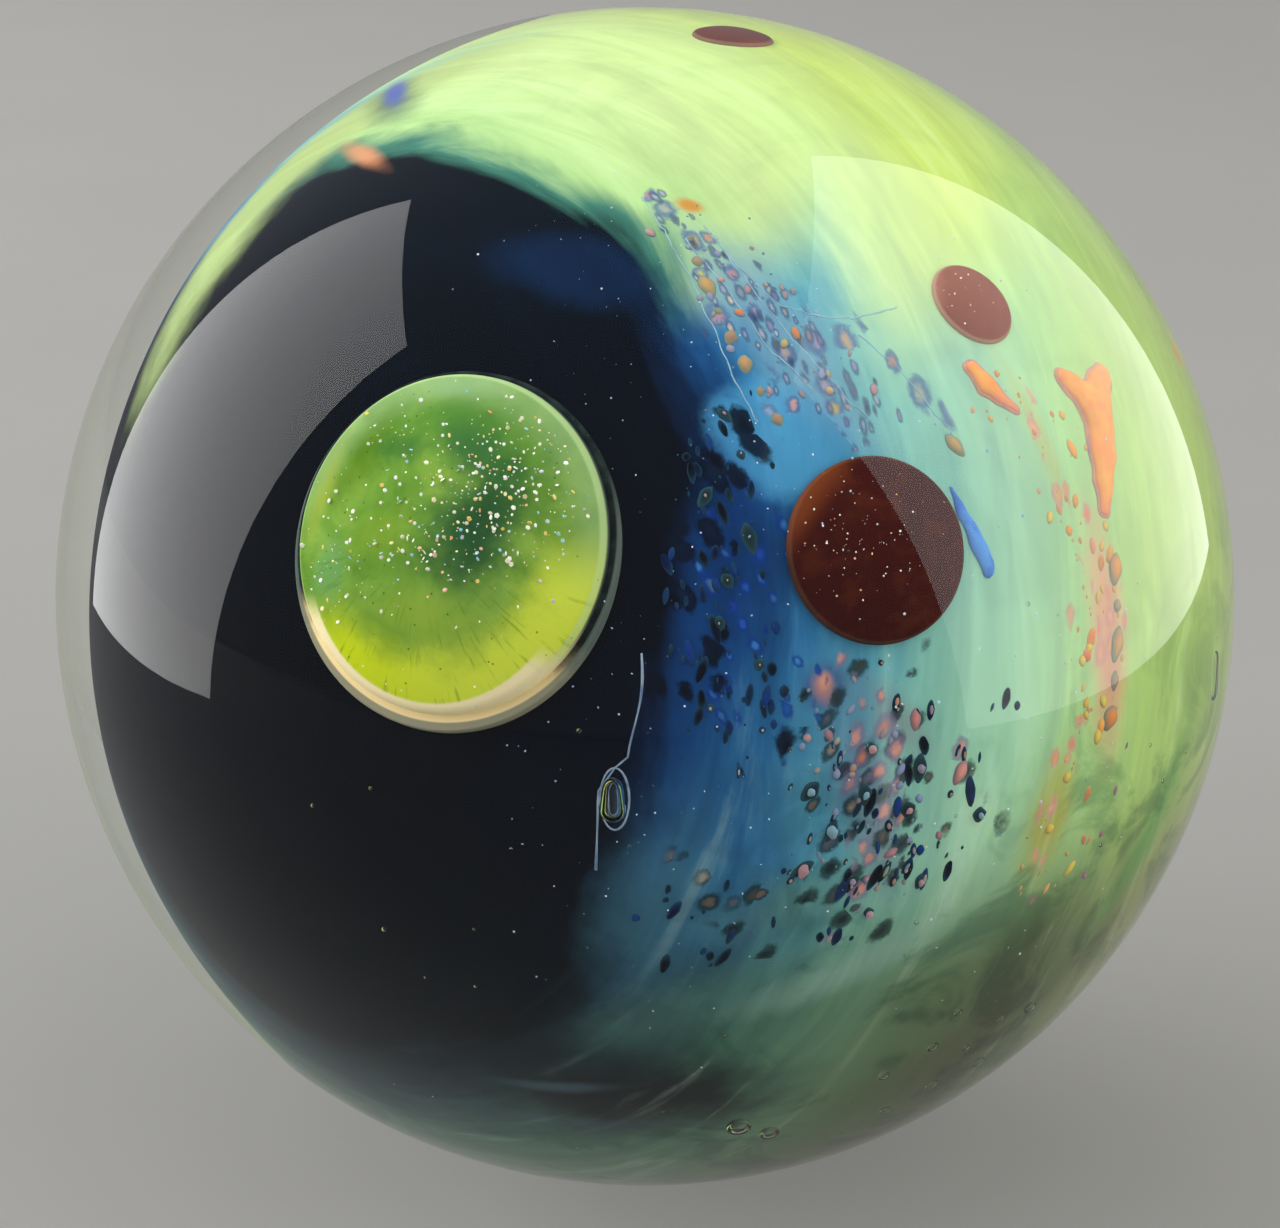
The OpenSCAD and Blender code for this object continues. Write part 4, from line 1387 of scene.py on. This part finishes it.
threadLook = {"top": (-5.5, 17), "neck": (-6.4, 5), "drop": (-8, 1.6), "tail": (-10, -6.5), "height": 1.0, "thick": 0.035}
paleLines = [
    [(-18, 72), (-8, 67), (-1, 61), (4, 53), (7, 46), (9.5, 42)],
    [(3, 68), (10, 62), (17, 56), (24, 54), (30, 53), (40, 53)],
    [(-2, 66), (7, 59), (13, 51), (19, 45)],
    [(8, 64), (15, 55), (22, 46), (26, 41)],
    [(30, 51), (34, 46), (37, 40), (39, 36)],
]


def loopedPlaces():
    top, neck, drop, tail = (threadLook[key] for key in ("top", "neck", "drop", "tail"))
    places = []
    for k in range(10):
        t = k / 10
        places.append((top[0] + (neck[0] - top[0]) * t + 0.4 * math.sin(5 * t), top[1] + (neck[1] - top[1]) * t))
    for k in range(25):  # round the drop and back to its foot
        a = math.pi / 2 + 2 * math.pi * k / 24
        places.append((drop[0] + 1.5 * math.cos(a), drop[1] + 3.4 * math.sin(a)))
    for k in range(1, 9):
        t = k / 8
        places.append((drop[0] - 1.6 * (1 - t) + (tail[0] - drop[0]) * t, drop[1] + 2.4 * (1 - t) ** 2 + (tail[1] - drop[1]) * t))
    return places


def glassThread(name, places, height, thick, first, second):
    line = [groundCentre + direction(turn, lift) * (groundRadius + height * mm) for turn, lift in places]
    around = 8
    points, faces = [], []
    for k, here in enumerate(line):
        ahead = (line[min(k + 1, len(line) - 1)] - line[max(k - 1, 0)]).normalized()
        out = (here - groundCentre).normalized()
        side = out.cross(ahead).normalized()
        upward = ahead.cross(side)
        radius = thick * mm * (0.6 + 0.8 * abs(noise.noise(here * 900)))
        for j in range(around):
            a = 2 * math.pi * j / around
            points.append(here + side * (radius * math.cos(a)) + upward * (radius * math.sin(a)))
    for k in range(len(line) - 1):
        for j in range(around):
            a, b = k * around + j, k * around + (j + 1) % around
            faces.append((a, b, b + around, a + around))
    faces.append(tuple(reversed(range(around))))
    faces.append(tuple(range(len(points) - around, len(points))))
    mesh = plainMesh(name, points, faces)
    shape = bmesh.new()
    shape.from_mesh(mesh)
    bmesh.ops.recalc_face_normals(shape, faces=shape.faces)
    shape.to_mesh(mesh)
    shape.free()
    return newPiece(name, mesh, meltedGlass(name + "Glass", first, second, 1500.0, 0.8))


def whiteThread():
    return glassThread("whiteThread", loopedPlaces(), threadLook["height"], threadLook["thick"], "#8fa5b8", "#4c6688")


# Thin lines between knots, a little wavy
def rowThreads():
    pieces = []
    for number, knots in enumerate(paleLines):
        places = []
        for (turnA, liftA), (turnB, liftB) in zip(knots, knots[1:]):
            for k in range(8):
                t = k / 8
                wave = 0.3 * noise.noise(Vector((turnA + (turnB - turnA) * t, number * 3.0, 1.5)))
                places.append((turnA + (turnB - turnA) * t + wave, liftA + (liftB - liftA) * t + wave))
        places.append(knots[-1])
        pieces.append(glassThread(f"rowThread{number}", places, 0.0, 0.022, "#9cc4d0", "#7c98b8"))
    return joinPieces("rowThreads", pieces)


# ---- put it together

casing = glassBall()
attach(casing, "root")
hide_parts("clear_casing")
ground = groundBall()
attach(ground, "root")
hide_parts(*groundNodes)
print("balls done")

dome = planetDome()
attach(dome, "root")
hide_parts("green_planet", "lime_shore", "dark_land")
bed = planetBed()
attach(bed, "root")
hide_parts("cream_bed")
redNodes = {"bigRedPlanet": "big_red_planet", "middleRedPlanet": "middle_red_planet", "smallRedPlanet": "small_red_planet"}
for pieceName, nodeName in redNodes.items():
    planet = redPlanet(pieceName)
    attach(planet, "root")
    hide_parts(nodeName)
print("planets done")

seated = {
    "amber_frit": (amberFrit, "amber_glass"),
    "pink_frit": (pinkFrit, "pink_glass"),
    "dark_dots": (darkDots, "dot_glass"),
    "pale_beads": (paleBeads, "pale_glass"),
    "blue_tongue": (blueTongue, "sky_glass"),
}
for nodeName, (maker, slotName) in seated.items():
    piece = maker()
    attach(piece, "root")
    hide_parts(nodeName)
print("seated frit done")

loose = [(fritHalos(), "pink_glass"), (planetFlecks(), "pale_glass"), (whiteThread(), "pale_glass"), (rowThreads(), "pale_glass")]
loose += [(redFlecks(name), "pale_glass") for name in ("bigRedPlanet", "middleRedPlanet")]
for bandName, slotName in (
    ("seamDashes", "dot_glass"),
    ("fieldDashes", "dot_glass"),
    ("fieldHearts", "pale_glass"),
    ("wideDashes", "dot_glass"),
    ("lowDashes", "dot_glass"),
    ("rowCrumbs", "amber_glass"),
    ("fieldCrumbs", "pink_glass"),
    ("forkCrumbs", "amber_glass"),
    ("darkSparkles", "pale_glass"),
    ("wideSparkles", "pale_glass"),
):
    loose.append((scatteredBand(bandName), slotName))
for piece, slotName in loose:
    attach(piece, "root")
for shape in marks.values():
    bpy.data.objects.remove(shape)
print("scattered marks done")

# ---- stage, lamps and camera

stageLook = {"floor": "#949390", "size": 6.0, "world": 0.22, "backdrop": 0.38, "fade": (0.12, 0.5)}


def pageFloor():
    half = stageLook["size"] / 2
    z = -ballRadius
    mesh = plainMesh("floor", [(-half, -half, z), (half, -half, z), (half, half, z), (-half, half, z)], [(0, 1, 2, 3)])
    material, tree, shader, place = startMaterial("palePaper", 0.9)
    cloud = noiseOf(tree, place, 60.0, 4.0).outputs[0]
    lighter = [min(1.0, c * 1.06) for c in paint(stageLook["floor"])[:3]] + [1.0]
    tree.links.new(mixColour(tree, cloud, paint(stageLook["floor"]), lighter), shader.inputs["Base Color"])
    # far off the paper runs over into the backdrop
    rays = add(tree, "ShaderNodeLightPath").outputs
    far = add(tree, "ShaderNodeVectorMath", {0: place}, operation="LENGTH").outputs["Value"]
    seen = calc(tree, "MAXIMUM", rays["Is Camera Ray"], calc(tree, "MAXIMUM", rays["Is Glossy Ray"], rays["Is Transmission Ray"]))
    gone = calc(tree, "MULTIPLY", fade(tree, far, *stageLook["fade"]), seen)
    clear = add(tree, "ShaderNodeBsdfTransparent")
    mixed = add(tree, "ShaderNodeMixShader", {0: gone, 1: shader.outputs[0], 2: clear.outputs[0]})
    tree.links.new(mixed.outputs[0], tree.nodes["Material Output"].inputs["Surface"])
    return newPiece("floor", mesh, material, False)


pageFloor()

# Soft panels: direction from the ball, distance, shift along the panel, width and height in metres, and brightness.
# The three far ones light the colours; the two near ones only show in the clear glass
panels = {
    "leftPanel": {"aim": (-0.925, 0.184, 0.40), "far": 0.30, "size": (0.54, 0.46), "bright": 2.6},
    "rightPanel": {"aim": (0.90, -0.30, 0.42), "far": 0.34, "size": (0.60, 0.44), "bright": 1.6},
    "topPanel": {"aim": (0.0, 0.25, 1.0), "far": 2.4, "size": (3.3, 3.3), "bright": 1.05},
    "leftCard": {"aim": (-0.945, 0.253, 0.208), "far": 0.07, "shift": (0.0145, 0.02), "size": (0.051, 0.096), "bright": 3.6},
    "rightCard": {"aim": (0.974, 0.085, 0.208), "far": 0.07, "shift": (-0.012, 0.035), "size": (0.106, 0.124), "bright": 2.5},
}


def softPanel(name):
    look = panels[name]
    light = bpy.data.lights.new(name, "AREA")
    light.shape = "RECTANGLE"
    light.size, light.size_y = look["size"]
    light.energy = look["bright"] * math.pi * light.size * light.size_y
    lamp = bpy.data.objects.new(name, light)
    bpy.context.scene.collection.objects.link(lamp)
    aim = Vector(look["aim"]).normalized()
    turned = aim.to_track_quat("Z", "Y")
    lamp.location = aim * look["far"] + turned @ Vector((*look.get("shift", (0, 0)), 0))
    lamp.rotation_euler = turned.to_euler()
    lamp.visible_camera = False
    lamp.visible_transmission = False
    lamp.visible_diffuse = name.endswith("Panel")
    lamp.visible_glossy = name.endswith("Card")


for panelName in panels:
    softPanel(panelName)

world = bpy.data.worlds.new("studio")
world.use_nodes = True
shown = add(world.node_tree, "ShaderNodeLightPath").outputs
straight = calc(world.node_tree, "MAXIMUM", shown["Is Camera Ray"], calc(world.node_tree, "MAXIMUM", shown["Is Glossy Ray"], shown["Is Transmission Ray"]))
level = calc(world.node_tree, "MULTIPLY_ADD", straight, stageLook["backdrop"] - stageLook["world"], stageLook["world"])
world.node_tree.links.new(level, world.node_tree.nodes["Background"].inputs["Color"])
bpy.context.scene.world = world
bpy.context.scene.view_settings.view_transform = "Standard"

cameraLook = {
    "elevation": 22.0,
    "lens": 80.0,
    "sensor": 36.0,
    "picture": (1280, 1228),
    "ballMiddle": (645, 597),
    "ballRadius": 590,
}


# The ball's middle and radius in the picture give the camera's distance and its small side steps
def addCamera():
    data = bpy.data.cameras.new("camera")
    data.lens = cameraLook["lens"]
    data.sensor_width = cameraLook["sensor"]
    data.clip_start = 0.001
    data.clip_end = 20.0
    half = cameraLook["picture"][0] / 2
    spread = cameraLook["sensor"] / 2 / cameraLook["lens"]
    far = ballRadius / math.sin(math.atan(spread * cameraLook["ballRadius"] / half))
    e = math.radians(cameraLook["elevation"])
    back, side, up = Vector((0, -math.cos(e), math.sin(e))), Vector((1, 0, 0)), Vector((0, math.sin(e), math.cos(e)))
    stepX = (half - cameraLook["ballMiddle"][0]) / half * spread * far
    stepY = (cameraLook["ballMiddle"][1] - cameraLook["picture"][1] / 2) / half * spread * far
    camera = bpy.data.objects.new("camera", data)
    bpy.context.scene.collection.objects.link(camera)
    camera.location = back * far + side * stepX + up * stepY
    camera.rotation_euler = (math.radians(90 - cameraLook["elevation"]), 0, 0)
    bpy.context.scene.camera = camera


addCamera()
print("stage done")
